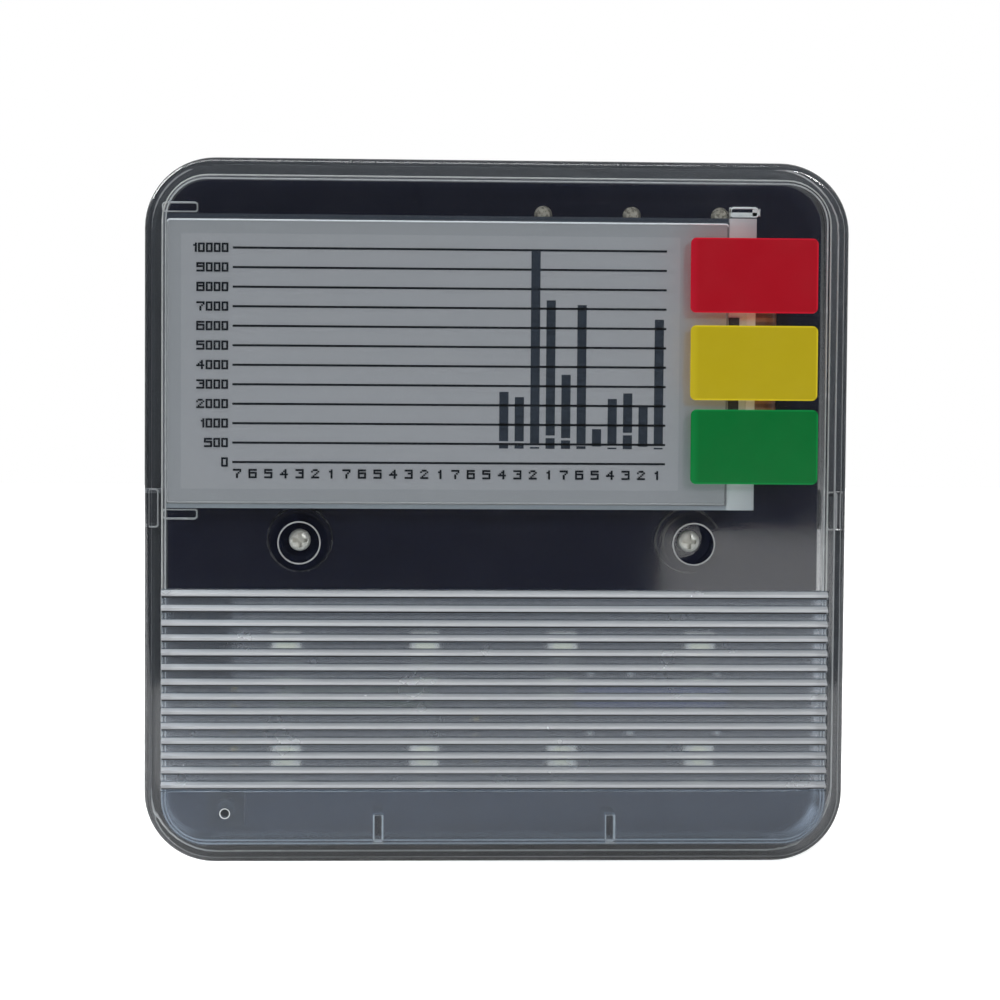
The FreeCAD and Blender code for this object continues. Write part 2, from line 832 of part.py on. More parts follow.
def make_terminal_block():
    z0, z1 = terminal_body_z()
    y1 = board_back_y + terminal_depth
    body = box(terminal_x - terminal_half, terminal_x + terminal_half, board_back_y, y1, z0, z1)
    cell_y0, cell_y1 = terminal_cell_y()
    screw_centre_z = z0 + terminal_cell_height / 2
    removed = []
    for x in terminal_places():
        removed.append(box(x - terminal_cell_width / 2, x + terminal_cell_width / 2,
                           cell_y0, cell_y1, z0 - through, z0 + terminal_cell_height))
        removed.append(rod(x, screw_centre_z, terminal_head_diameter + 2 * terminal_well_gap,
                           cell_y1 - through, y1 + through))
        removed.append(rod(x, terminal_pin_z, terminal_pin_diameter + 2 * fit_gap,
                           board_back_y - through, terminal_pin_end_y))
    return body.cut(removed)


def make_terminal_cages():
    z0 = terminal_body_z()[0]
    cell_y0, cell_y1 = terminal_cell_y()
    cages = []
    for x in terminal_places():
        half = terminal_cell_width / 2 - terminal_cage_gap
        y0, y1 = cell_y0 + terminal_cage_gap, cell_y1 - terminal_cage_gap
        bottom = z0 + terminal_cage_wall
        top = z0 + terminal_cell_height - terminal_cage_gap
        cage = box(x - half, x + half, y0, y1, bottom, top)
        cage = cage.cut(box(x - half + terminal_cage_wall, x + half - terminal_cage_wall,
                            y0 + terminal_cage_wall, y1 - terminal_cage_wall,
                            bottom - through, top + through))
        cage = cage.cut(rod(x, z0 + terminal_cell_height / 2,
                            terminal_screw_diameter + 2 * terminal_cage_gap,
                            y1 - terminal_cage_wall - through, y1 + through))
        cages.append(cage)
    return group(cages)


def make_terminal_screws():
    z = terminal_body_z()[0] + terminal_cell_height / 2
    head_y = terminal_cell_y()[1]
    screws = []
    for x in terminal_places():
        head_back = head_y + terminal_head_height
        screw = rod(x, z, terminal_head_diameter, head_y, head_back)
        screw = screw.fuse(rod(x, z, terminal_screw_diameter,
                               head_y - terminal_head_height - terminal_cage_wall, head_y + through))
        slot = centred_box(x, z, terminal_head_diameter + through, terminal_screw_slot,
                           head_back - terminal_screw_slot_depth, head_back + through)
        screws.append(screw.cut(slot).removeSplitter())
    return group(screws)


def make_terminal_pins():
    pins = []
    for x in terminal_places():
        pin = rod(x, terminal_pin_z, terminal_pin_diameter, board_y - solder_height / 2,
                  terminal_pin_end_y)
        solder = Part.makeCone(solder_diameter / 2, solder_top_diameter / 2, solder_height,
                               Vector(x, board_y, terminal_pin_z), Vector(0, -1, 0))
        pins.append(pin.fuse(solder).removeSplitter())
    return group(pins)


def make_inductor():
    y1 = board_back_y + inductor_height
    body = slab(inductor_x, inductor_z, inductor_size, inductor_size, inductor_corner,
                board_back_y, y1)
    waist = slab(inductor_x, inductor_z, inductor_size - 2 * inductor_waist,
                 inductor_size - 2 * inductor_waist, inductor_corner, board_back_y, y1)
    third = inductor_height / 3
    band = centred_box(inductor_x, inductor_z, 2 * inductor_size, 2 * inductor_size,
                       board_back_y + third, y1 - third)
    return body.cut(band.cut(waist))


def make_capacitor_base(x, z):
    base = centred_box(x, z, capacitor_base_size, capacitor_base_size,
                       board_back_y, board_back_y + capacitor_base_height)
    chamfered = [edge for edge in base.Edges
                 if edge.BoundBox.YLength > capacitor_base_height / 2 and edge.BoundBox.XMin > x]
    return base.makeChamfer(capacitor_base_height, chamfered)


def make_capacitor_can(x, z):
    y0 = board_back_y + capacitor_base_height
    can = rod(x, z, capacitor_diameter, y0, y0 + capacitor_can_height)
    return can.makeFillet(capacitor_rim_round, edges_at(can, y0 + capacitor_can_height))


def make_chip_body(x, z):
    y0 = board_back_y + chip_lift
    return centred_box(x, z, chip_width, chip_height, y0, y0 + chip_body_height)


def make_chip_leads(x, z):
    leads = []
    for side in (-1, 1):
        for i in range(chip_lead_count):
            lead_x = x + (i - (chip_lead_count - 1) / 2) * chip_lead_pitch
            z0 = z + side * chip_height / 2
            z1 = z0 + side * chip_lead_reach
            low, high = sorted((z0, z1))
            leads.append(box(lead_x - chip_lead_width / 2, lead_x + chip_lead_width / 2,
                             board_back_y, board_back_y + chip_lift + chip_lead_thickness, low, high))
    return leads


def make_small_parts(kind):
    height = small_part_heights[kind]
    parts = []
    for row_kind, x, rise in small_part_rows:
        if row_kind == kind:
            for i in range(small_part_count):
                parts.append(centred_box(x + i * small_part_pitch, screw_z + rise, small_part_width,
                                         small_part_length, board_back_y, board_back_y + height))
    return group(parts)


def main():
    os.makedirs("parts", exist_ok=True)
    export("front_cover", make_front_cover())
    for colour, (from_right, from_top) in label_places.items():
        export("label_" + colour, make_label(from_right, from_top))
    export("cover_screws", group([make_cover_screw(x) for x in screw_x]))
    export("rear_shell", make_rear_shell())
    export("screw_inserts", group([make_screw_insert(x) for x in screw_x]))
    export("main_board", make_main_board())
    export("display_glass", make_display_glass())
    export("display_film", make_display_film())
    export("display_sheet", make_display_sheet())
    export("display_driver_chip", make_display_driver_chip())
    export("display_spacer", make_display_spacer())
    export("display_tape", make_display_tape())
    export("display_ribbon", make_display_ribbon())
    export("ribbon_connector", make_ribbon_connector())
    export("ribbon_latch", make_ribbon_latch())
    export("led_packages", group([make_led_package(x, z) for x, z in led_places()]))
    export("led_lenses", group([make_led_lens(x, z) for x, z in led_places()]))
    export("switch_base", make_switch_base())
    export("switch_plate", make_switch_plate())
    export("switch_plunger", make_switch_plunger())
    export("switch_dome", make_switch_dome())
    export("humidity_sensor", make_humidity_sensor())
    export("co2_sensor_board", make_co2_board())
    export("co2_sensor_housing", make_co2_housing())
    export("co2_sensor_filter", make_co2_filter())
    export("co2_sensor_pins", make_co2_pins())
    export("radio_board", make_radio_board())
    export("radio_shield", make_radio_shield())
    export("relay_case", make_relay_case())
    export("relay_pins", make_relay_pins())
    export("terminal_block", make_terminal_block())
    export("terminal_cages", make_terminal_cages())
    export("terminal_screws", make_terminal_screws())
    export("terminal_pins", make_terminal_pins())
    export("power_inductor", make_inductor())
    export("capacitor_bases", group([make_capacitor_base(x, z) for x, z in capacitor_places]))
    export("capacitor_cans", group([make_capacitor_can(x, z) for x, z in capacitor_places]))
    export("control_chips", group([make_chip_body(x, z) for x, z in chip_places]))
    export("chip_leads", group([lead for x, z in chip_places for lead in make_chip_leads(x, z)]))
    export("chip_capacitors", make_small_parts("capacitors"))
    export("chip_resistors", make_small_parts("resistors"))


main()
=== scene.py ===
import math

import bpy
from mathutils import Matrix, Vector


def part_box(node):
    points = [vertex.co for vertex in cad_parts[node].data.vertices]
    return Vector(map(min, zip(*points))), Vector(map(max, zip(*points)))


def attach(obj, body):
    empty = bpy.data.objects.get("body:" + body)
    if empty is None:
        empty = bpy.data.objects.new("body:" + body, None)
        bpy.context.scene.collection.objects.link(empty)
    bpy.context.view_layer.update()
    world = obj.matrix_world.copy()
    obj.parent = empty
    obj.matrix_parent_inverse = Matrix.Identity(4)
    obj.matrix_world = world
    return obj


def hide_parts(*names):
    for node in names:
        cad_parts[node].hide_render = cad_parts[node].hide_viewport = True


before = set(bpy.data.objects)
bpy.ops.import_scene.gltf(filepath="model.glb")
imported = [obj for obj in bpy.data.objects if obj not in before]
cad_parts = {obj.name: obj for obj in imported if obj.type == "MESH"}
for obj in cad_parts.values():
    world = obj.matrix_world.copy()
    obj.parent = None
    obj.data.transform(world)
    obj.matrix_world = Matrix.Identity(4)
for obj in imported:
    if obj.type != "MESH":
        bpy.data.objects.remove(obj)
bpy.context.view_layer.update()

MM = 0.001

# Boxes of the solids that the new pieces and finishes follow, read from the frame
sheet_low, sheet_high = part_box("display_sheet")
film_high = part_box("display_film")[1]
glass_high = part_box("display_glass")[1]
board_low, board_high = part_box("main_board")
cover_low, cover_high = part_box("front_cover")

# Camera, fitted to the photograph's viewing angle, in metres and radians
camera_place = (-0.0190876, -0.3672340, 0.0625982)
camera_turn = (1.5201210, -0.0074283, -0.0543053)
camera_lens = 104.577
camera_sensor_width = 36.0

# Lamps: name, place, target, width, height and power
part_middle = (0.0, 0.0, 0.043)
soft_lamps = (
    ("key_lamp", (0.36, -1.08, 0.42), part_middle, 0.15, 0.15, 3.0),
    ("top_lamp", (-0.15, -0.2, 0.8), part_middle, 0.7, 0.25, 2.8),
    ("corner_lamp", (-0.62, 0.12, 0.62), part_middle, 0.5, 0.5, 8.0),
)
panel_lamp = ("front_panel", (0.1225, -0.6, -0.015), (0.1225, 0.0, -0.015), 0.075, 0.04, 0.022)

# Levels of the white surroundings: what lights the part, and what mirrors in it from front and back
surround_light = 0.4
front_side = -0.25
back_side = 0.15
mirrored_front = 0.06
mirrored_back = 0.25
floor_seen = 0.75
floor_mirrored = 0.2
floor_drop = 0.5 * MM

# Chart on the display
ink_thickness = 0.02 * MM
ink_corner = 0.03 * MM
chart_left = -32.4 * MM
chart_right = 20.7 * MM
chart_top = 75.12 * MM
line_pitch = 2.373 * MM
line_count = 12
line_thickness = 0.27 * MM
first_bar = 0.78 * MM
bar_pitch = 1.906 * MM
bar_width = 1.13 * MM
whole_bar_foot = 0.90
split_bar_foot = 0.77
dot_width = 0.191 * MM
dot_height = 0.18 * MM
scale_right = -32.95 * MM
numeral_growth = 0.042 * MM
day_line = 47.62 * MM
day_shift = 0.19 * MM
day_number_count = 28
week_length = 7

# Display sheet: its printed area's margins, the seal round its film with its painted top highlight and right
# shade, and how softly its edges fade
paper_margin = 1.7 * MM
paper_right_margin = 5.9 * MM
paper_edge = 0.08 * MM
seal_thickness = 0.2 * MM
seal_corner = 0.3 * MM
seal_top_soft = 0.4 * MM
seal_right_soft = 0.2 * MM
glass_top_soft = 0.2 * MM
sheet_edge_soft = 0.1 * MM

# Cavity of the clear cover
cover_inner_half = 41.0 * MM
cavity_floor = 2.0 * MM
cavity_top = 84.0 * MM
cavity_corner = 5.5 * MM
plate_back = cover_low.y + 2.1 * MM

# Louvres: how hazy each part is, and the shade and light painted on the fins and the gaps between them
frost_top = 33.5 * MM
fin_bottom = 8.7 * MM
fin_root = cover_low.y + 0.75 * MM
fin_pitch = 1.81 * MM
fin_height = 0.83 * MM
slot_shade_low = 0.24 * MM
slot_shade_high = 0.34 * MM
frost_haze = 0.03
fin_scatter_and_highlight = 0.42
low_fin_share = 0.82
gap_lit_haze = 0.09
gap_top_share = 0.25
dim_gap_side = -32.3 * MM
dim_gap_foot = 21.0 * MM
dim_gap_level = 0.45
dim_side_soft = 0.5 * MM
dim_foot_soft = 2.0 * MM
soft_step = 0.1 * MM

# Painted highlight lines along the edges of the clear cover, and the labels' lighter left band and painted
# highlights along their other edges
edge_line = 0.22 * MM
well_line = 0.19 * MM
label_edge = 0.25 * MM
label_band_inner = 1.2 * MM
label_band_outer = 0.4 * MM
label_rim_gain = 1.5
inner_line_inset = 0.5 * MM
cover_corner = 8.6 * MM
skirt_line_inset = 0.55 * MM
skirt_line_depth = cover_low.y + 8.5 * MM
fillet_thickness = 0.2 * MM
loop_corner_steps = 10
ring_steps = 72

# Locating ribs and side notches: left, right, low and high sides in millimetres
locator_back = glass_high.y + 0.6 * MM
left_locators = ((-41.0, -36.6, 79.35, 80.65), (-41.0, -36.6, 41.95, 43.25))
right_locator = (28.5, 32.1, 79.35, 80.65)
notch_sides = (-42.85, -41.55, 40.65, 45.55)
tab_corner = 0.35 * MM
locator_plate = 0.1 * MM
locator_plate_corner = 0.05 * MM
locator_end = 0.8 * MM

# Stop ribs at the foot of the cover
rib_half_spacing = 14.35 * MM
rib_half_width = 0.65 * MM
rib_top = 5.6 * MM
rib_line_depth = 1.5 * MM
rib_corner = 0.2 * MM

# Wells and pinhole of the cover
screw_half_spacing = 24.2 * MM
screw_height = 39.25 * MM
well_radius = 2.65 * MM
board_ring_radius = 4.0 * MM
pinhole_x = -33.15 * MM
pinhole_height = 6.0 * MM
pinhole_radius = 0.65 * MM

# Tracks, threads and cells of the patterned finishes
track_pitch = 9.0 * MM
track_share = 0.02
track_stagger = 0.37
ribbon_band = 3.2 * MM
membrane_cell = 0.25 * MM

# Smooth copies of the solids
merge_distance = 0.002 * MM
smooth_angle = math.radians(28.0)


# Camera, lamps, surroundings and floor

def add_camera():
    bpy.ops.object.camera_add(location=camera_place, rotation=camera_turn)
    camera = bpy.context.object
    camera.data.sensor_width = camera_sensor_width
    camera.data.lens = camera_lens
    camera.data.clip_start = 0.01
    camera.data.clip_end = 20.0
    bpy.context.scene.camera = camera


def add_lamp(name, place, target, width, height, power):
    bpy.ops.object.light_add(type="AREA", location=place)
    lamp = bpy.context.object
    lamp.name = name
    lamp.data.shape = "RECTANGLE"
    lamp.data.size = width
    lamp.data.size_y = height
    lamp.data.energy = power
    aim = Vector(target) - Vector(place)
    lamp.rotation_euler = aim.to_track_quat("-Z", "Y").to_euler()
    lamp.visible_camera = False
    return lamp


def add_lamps():
    for lamp in soft_lamps:
        add_lamp(*lamp)
    panel = add_lamp(*panel_lamp)
    panel.visible_diffuse = False
    panel.visible_transmission = False


mirror_rays = ("Is Glossy Ray", "Is Transmission Ray")
through_rays = ("Is Shadow Ray", "Is Diffuse Ray")
camera_rays = ("Is Camera Ray",)


def ray_sum(nodes, links, names):
    path = nodes.new("ShaderNodeLightPath")
    total = path.outputs[names[0]]
    for name in names[1:]:
        larger = nodes.new("ShaderNodeMath")
        larger.operation = "MAXIMUM"
        links.new(total, larger.inputs[0])
        links.new(path.outputs[name], larger.inputs[1])
        total = larger.outputs[0]
    return total


def add_surroundings():
    world = bpy.data.worlds.new("surroundings")
    bpy.context.scene.world = world
    world.use_nodes = True
    nodes = world.node_tree.nodes
    links = world.node_tree.links
    background = nodes["Background"]
    background.inputs["Strength"].default_value = 1.0
    direction = nodes.new("ShaderNodeTexCoord").outputs["Generated"]
    split = nodes.new("ShaderNodeSeparateXYZ")
    links.new(direction, split.inputs[0])
    depth = fade(nodes, links, split.outputs["Y"], front_side, back_side, mirrored_front, mirrored_back)
    shine = nodes.new("ShaderNodeMix")
    shine.inputs["A"].default_value = surround_light
    links.new(ray_sum(nodes, links, mirror_rays), shine.inputs["Factor"])
    links.new(depth, shine.inputs["B"])
    seen = nodes.new("ShaderNodeMix")
    seen.inputs["B"].default_value = 1.0
    links.new(ray_sum(nodes, links, camera_rays), seen.inputs["Factor"])
    links.new(shine.outputs["Result"], seen.inputs["A"])
    links.new(seen.outputs["Result"], background.inputs["Color"])


def add_floor():
    bpy.ops.mesh.primitive_plane_add(size=1.0, location=(0.0, 0.4, -floor_drop))
    floor = bpy.context.object
    floor.name = "floor"
    floor.scale = (1.6, 1.2, 1.0)
    material = bpy.data.materials.new("pale_floor")
    material.use_nodes = True
    nodes = material.node_tree.nodes
    links = material.node_tree.links
    shader = nodes["Principled BSDF"]
    shader.inputs["Base Color"].default_value = (0.8, 0.8, 0.8, 1.0)
    shader.inputs["Roughness"].default_value = 0.9
    shader.inputs["Emission Color"].default_value = (1.0, 1.0, 1.0, 1.0)
    seen = combine(nodes, links, "MULTIPLY", ray_sum(nodes, links, camera_rays), floor_seen)
    faint = combine(nodes, links, "MULTIPLY", ray_sum(nodes, links, mirror_rays), floor_mirrored)
    links.new(combine(nodes, links, "MAXIMUM", seen, faint), shader.inputs["Emission Strength"])
    floor.data.materials.append(material)


# Finishes

def new_finish(name):
    material = bpy.data.materials.new(name)
    material.use_nodes = True
    return material, material.node_tree.nodes, material.node_tree.links


def lumps(nodes, links, size, stretch=(1.0, 1.0, 1.0)):
    place = nodes.new("ShaderNodeTexCoord")
    mapping = nodes.new("ShaderNodeMapping")
    mapping.inputs["Scale"].default_value = stretch
    links.new(place.outputs["Object"], mapping.inputs["Vector"])
    texture = nodes.new("ShaderNodeTexNoise")
    texture.inputs["Scale"].default_value = 1.0 / size
    texture.inputs["Detail"].default_value = 4.0
    links.new(mapping.outputs["Vector"], texture.inputs["Vector"])
    return texture.outputs["Fac"]


def axis_value(nodes, links, axis):
    place = nodes.new("ShaderNodeTexCoord")
    split = nodes.new("ShaderNodeSeparateXYZ")
    links.new(place.outputs["Object"], split.inputs[0])
    return split.outputs[axis]


def fade(nodes, links, value, start, end, low=0.0, high=1.0):
    step = nodes.new("ShaderNodeMapRange")
    step.inputs["From Min"].default_value = start
    step.inputs["From Max"].default_value = end
    step.inputs["To Min"].default_value = low
    step.inputs["To Max"].default_value = high
    links.new(value, step.inputs["Value"])
    return step.outputs["Result"]


def combine(nodes, links, operation, first, second):
    node = nodes.new("ShaderNodeMath")
    node.operation = operation
    for value, socket in zip((first, second), node.inputs):
        if isinstance(value, float):
            socket.default_value = value
        else:
            links.new(value, socket)
    return node.outputs[0]


def mix_values(nodes, links, factor, first, second):
    mix = nodes.new("ShaderNodeMix")
    links.new(factor, mix.inputs["Factor"])
    links.new(first, mix.inputs["A"])
    links.new(second, mix.inputs["B"])
    return mix.outputs["Result"]


def blend(nodes, links, factor, first, second):
    mix = nodes.new("ShaderNodeMix")
    mix.data_type = "RGBA"
    links.new(factor, mix.inputs["Factor"])
    for value, socket in ((first, mix.inputs[6]), (second, mix.inputs[7])):
        if isinstance(value, tuple):
            socket.default_value = (*value, 1.0)
        else:
            links.new(value, socket)
    return mix.outputs[2]


def raise_grain(nodes, links, shader, height, depth):
    bump = nodes.new("ShaderNodeBump")
    bump.inputs["Strength"].default_value = 1.0
    bump.inputs["Distance"].default_value = depth
    links.new(height, bump.inputs["Height"])
    links.new(bump.outputs["Normal"], shader.inputs["Normal"])


def vary_gloss(nodes, links, shader, cloud, smoothest, roughest):
    links.new(fade(nodes, links, cloud, 0.3, 0.7, smoothest, roughest), shader.inputs["Roughness"])


def plain_finish(name, dark, light, gloss, patch, grain, depth, metal=0.0, shine=0.5,
                 stretch=(1.0, 1.0, 1.0)):
    material, nodes, links = new_finish(name)
    shader = nodes["Principled BSDF"]
    shader.inputs["Metallic"].default_value = metal
    shader.inputs["Specular IOR Level"].default_value = shine
    patches = lumps(nodes, links, patch * MM, stretch)
    links.new(blend(nodes, links, patches, dark, light), shader.inputs["Base Color"])
    vary_gloss(nodes, links, shader, patches, *gloss)
    raise_grain(nodes, links, shader, lumps(nodes, links, grain * MM, stretch), depth * MM)
    return material


def pass_light(nodes, links, shader, stain):
    clear = nodes.new("ShaderNodeBsdfTransparent")
    clear.inputs["Color"].default_value = (*stain, 1.0)
    mix = nodes.new("ShaderNodeMixShader")
    links.new(ray_sum(nodes, links, through_rays), mix.inputs["Fac"])
    links.new(shader.outputs["BSDF"], mix.inputs[1])
    links.new(clear.outputs["BSDF"], mix.inputs[2])
    links.new(mix.outputs["Shader"], nodes["Material Output"].inputs["Surface"])


def inside_cavity(nodes, links, height):
    across = combine(nodes, links, "ABSOLUTE", axis_value(nodes, links, "X"), 0.0)
    past_side = combine(nodes, links, "SUBTRACT", across, cover_inner_half - cavity_corner)
    past_foot = combine(nodes, links, "SUBTRACT", cavity_floor + cavity_corner, height)
    past_side = combine(nodes, links, "MAXIMUM", past_side, 0.0)
    past_foot = combine(nodes, links, "MAXIMUM", past_foot, 0.0)
    round_side = combine(nodes, links, "MULTIPLY", past_side, past_side)
    round_foot = combine(nodes, links, "MULTIPLY", past_foot, past_foot)
    reach = combine(nodes, links, "POWER", combine(nodes, links, "ADD", round_side, round_foot), 0.5)
    return fade(nodes, links, reach, cavity_corner, cavity_corner - soft_step)


def clear_cover_finish():
    material, nodes, links = new_finish("clear_polycarbonate")
    shader = nodes["Principled BSDF"]
    shader.inputs["IOR"].default_value = 1.5
    height = axis_value(nodes, links, "Z")
    low_zone = fade(nodes, links, height, frost_top, frost_top - soft_step / 2)
    frost = combine(nodes, links, "MULTIPLY", inside_cavity(nodes, links, height), low_zone)
    front = fade(nodes, links, axis_value(nodes, links, "Y"), fin_root, fin_root - soft_step)
    above_strip = fade(nodes, links, height, fin_bottom + soft_step / 2, fin_bottom + soft_step)
    drop = combine(nodes, links, "SUBTRACT", frost_top, height)
    below_fin = combine(nodes, links, "MODULO", drop, fin_pitch)
    crest = fade(nodes, links, below_fin, fin_height, fin_height - soft_step)
    fins = combine(nodes, links, "MULTIPLY", combine(nodes, links, "MULTIPLY", front, above_strip), frost)
    fins = combine(nodes, links, "MULTIPLY", fins, crest)
    haze = combine(nodes, links, "MULTIPLY", frost, frost_haze)
    # The fins' extra haze is partly etching and partly painted highlight, which makes them whiter than the
    # gaps; lower fins get less, so they are darker towards the bottom
    fin_level = fade(nodes, links, height, fin_bottom, frost_top, low_fin_share * fin_scatter_and_highlight,
                     fin_scatter_and_highlight)
    fin_lit_share = combine(nodes, links, "MULTIPLY", fins, fin_level)
    # Painted shade: a near-black, nearly opaque band just under each fin's lower edge, over the hidden air
    # slot
    fin_shade_top = fade(nodes, links, below_fin, fin_height - slot_shade_low, fin_height)
    fin_shade_foot = fade(nodes, links, below_fin, fin_height + slot_shade_high, fin_height + slot_shade_low)
    slot = combine(nodes, links, "MINIMUM", fin_shade_top, fin_shade_foot)
    gap_zone = combine(nodes, links, "MULTIPLY", combine(nodes, links, "SUBTRACT", 1.0, fins), frost)
    gap_zone = combine(nodes, links, "MULTIPLY", gap_zone, above_strip)
    shade = combine(nodes, links, "MULTIPLY", slot, gap_zone)
    # Painted shade and light down each gap: dim under the fin above, paler and hazier towards the next fin
    gap_foot = fade(nodes, links, below_fin, fin_height + slot_shade_high, fin_pitch, gap_top_share, 1.0)
    gap_light = combine(nodes, links, "MULTIPLY", gap_foot, gap_zone)
    # Painted shadow: the gaps at the upper left, past the dim side and above the dim foot, are dimmer
    across = axis_value(nodes, links, "X")
    past_dim = fade(nodes, links, across, dim_gap_side - dim_side_soft, dim_gap_side + dim_side_soft)
    below_dim = fade(nodes, links, height, dim_gap_foot + dim_foot_soft, dim_gap_foot - dim_foot_soft)
    lit_side = combine(nodes, links, "MAXIMUM", past_dim, below_dim)
    lit_level = fade(nodes, links, lit_side, 0.0, 1.0, dim_gap_level, 1.0)
    gap_light = combine(nodes, links, "MULTIPLY", gap_light, lit_level)
    gap_light_share = combine(nodes, links, "MULTIPLY", gap_light, gap_lit_haze)
    solid_share = combine(nodes, links, "ADD", haze, combine(nodes, links, "MAXIMUM", fin_lit_share, gap_light_share))
    solid_share = combine(nodes, links, "MAXIMUM", solid_share, shade)
    links.new(combine(nodes, links, "SUBTRACT", 1.0, solid_share), shader.inputs["Transmission Weight"])
    cloud = lumps(nodes, links, 6.0 * MM)
    clear = blend(nodes, links, cloud, (0.93, 0.95, 0.97), (0.96, 0.97, 0.98))
    strip_tint = blend(nodes, links, cloud, (0.38, 0.48, 0.62), (0.45, 0.56, 0.72))
    gap_tint = blend(nodes, links, cloud, (0.32, 0.40, 0.50), (0.38, 0.47, 0.58))
    # Painted shadow: a darker, bluer tint for the dim upper left gaps
    dim_tint = blend(nodes, links, cloud, (0.24, 0.29, 0.36), (0.29, 0.35, 0.42))
    gap_tint = blend(nodes, links, lit_side, dim_tint, gap_tint)
    milky = blend(nodes, links, above_strip, strip_tint, gap_tint)
    # Painted light: paler towards each gap's foot
    milky = blend(nodes, links, gap_light, milky, (0.78, 0.82, 0.88))
    # Painted shade: near black in the band under each fin
    gaps = blend(nodes, links, shade, milky, (0.006, 0.007, 0.009))
    # Painted highlight: each fin is lighter towards its lower edge
    fin_foot = fade(nodes, links, below_fin, 0.0, fin_height)
    upper_crest = blend(nodes, links, cloud, (0.62, 0.65, 0.68), (0.70, 0.73, 0.76))
    highlit_crest = blend(nodes, links, cloud, (0.78, 0.80, 0.83), (0.85, 0.87, 0.90))
    crests = blend(nodes, links, fin_foot, upper_crest, highlit_crest)
    etched_tint = blend(nodes, links, fins, gaps, crests)
    links.new(blend(nodes, links, frost, clear, etched_tint), shader.inputs["Base Color"])
    smooth = fade(nodes, links, cloud, 0.3, 0.7, 0.03, 0.07)
    etched = fade(nodes, links, cloud, 0.3, 0.7, 0.22, 0.28)
    strip = fade(nodes, links, cloud, 0.3, 0.7, 0.17, 0.21)
    etched = mix_values(nodes, links, above_strip, strip, etched)
    links.new(mix_values(nodes, links, frost, smooth, etched), shader.inputs["Roughness"])
    pass_light(nodes, links, shader, (0.88, 0.9, 0.91))
    return material


def label_finish(name, dark, light, stain, node):
    material, nodes, links = new_finish(name)
    shader = nodes["Principled BSDF"]
    shader.inputs["Specular IOR Level"].default_value = 0.25
    low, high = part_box(node)
    edge = fade(nodes, links, axis_value(nodes, links, "X"), low.x + label_band_inner,
                low.x + label_band_outer)
    weave = combine(nodes, links, "MULTIPLY", lumps(nodes, links, 2.5 * MM), 0.35)
    face = blend(nodes, links, combine(nodes, links, "MAXIMUM", edge, weave), dark, light)
    height = axis_value(nodes, links, "Z")
    # Painted highlight: a thin lighter rim along each label's right, top and bottom edges
    right_edge = fade(nodes, links, axis_value(nodes, links, "X"), high.x - label_edge, high.x)
    top_edge = fade(nodes, links, height, high.z - label_edge, high.z)
    foot_edge = fade(nodes, links, height, low.z + label_edge, low.z)
    rim_highlight = combine(nodes, links, "MAXIMUM", top_edge, foot_edge)
    rim_highlight = combine(nodes, links, "MAXIMUM", right_edge, rim_highlight)
    rim_colour = tuple(label_rim_gain * part for part in light)
    links.new(blend(nodes, links, rim_highlight, face, rim_colour), shader.inputs["Base Color"])
    vary_gloss(nodes, links, shader, lumps(nodes, links, 4.0 * MM), 0.14, 0.2)
    raise_grain(nodes, links, shader, lumps(nodes, links, 0.25 * MM), 0.002 * MM)
    pass_light(nodes, links, shader, stain)
    return material


def display_sheet_finish():
    material, nodes, links = new_finish("paper_display_sheet")
    shader = nodes["Principled BSDF"]
    across = axis_value(nodes, links, "X")
    height = axis_value(nodes, links, "Z")
    paper_left = sheet_low.x + paper_margin
    paper_right = sheet_high.x - paper_right_margin
    paper_foot = sheet_low.z + paper_margin
    paper_top = sheet_high.z - paper_margin
    left = fade(nodes, links, across, paper_left - paper_edge, paper_left)
    right = fade(nodes, links, across, paper_right + paper_edge, paper_right)
    bottom = fade(nodes, links, height, paper_foot - paper_edge, paper_foot)
    top = fade(nodes, links, height, paper_top + paper_edge, paper_top)
    width = combine(nodes, links, "MINIMUM", left, right)
    active = combine(nodes, links, "MINIMUM", width, combine(nodes, links, "MINIMUM", bottom, top))
    speck = lumps(nodes, links, 0.12 * MM)
    shader.inputs["Specular IOR Level"].default_value = 0.15
    paper = blend(nodes, links, speck, (0.337, 0.341, 0.357), (0.389, 0.392, 0.407))
    border = blend(nodes, links, speck, (0.300, 0.308, 0.321), (0.345, 0.353, 0.366))
    links.new(blend(nodes, links, active, border, paper), shader.inputs["Base Color"])
    shader.inputs["Roughness"].default_value = 0.6
    raise_grain(nodes, links, shader, lumps(nodes, links, 0.08 * MM), 0.001 * MM)
    return material


def display_film_finish():
    material, nodes, links = new_finish("display_film")
    shader = nodes["Principled BSDF"]
    top = fade(nodes, links, axis_value(nodes, links, "Z"), sheet_high.z - sheet_edge_soft,
               sheet_high.z)
    cloud = lumps(nodes, links, 2.0 * MM)
    side = blend(nodes, links, cloud, (0.24, 0.247, 0.253), (0.29, 0.297, 0.303))
    links.new(blend(nodes, links, top, side, (0.08, 0.09, 0.112)), shader.inputs["Base Color"])
    vary_gloss(nodes, links, shader, cloud, 0.2, 0.3)
    raise_grain(nodes, links, shader, lumps(nodes, links, 0.4 * MM), 0.001 * MM)
    return material


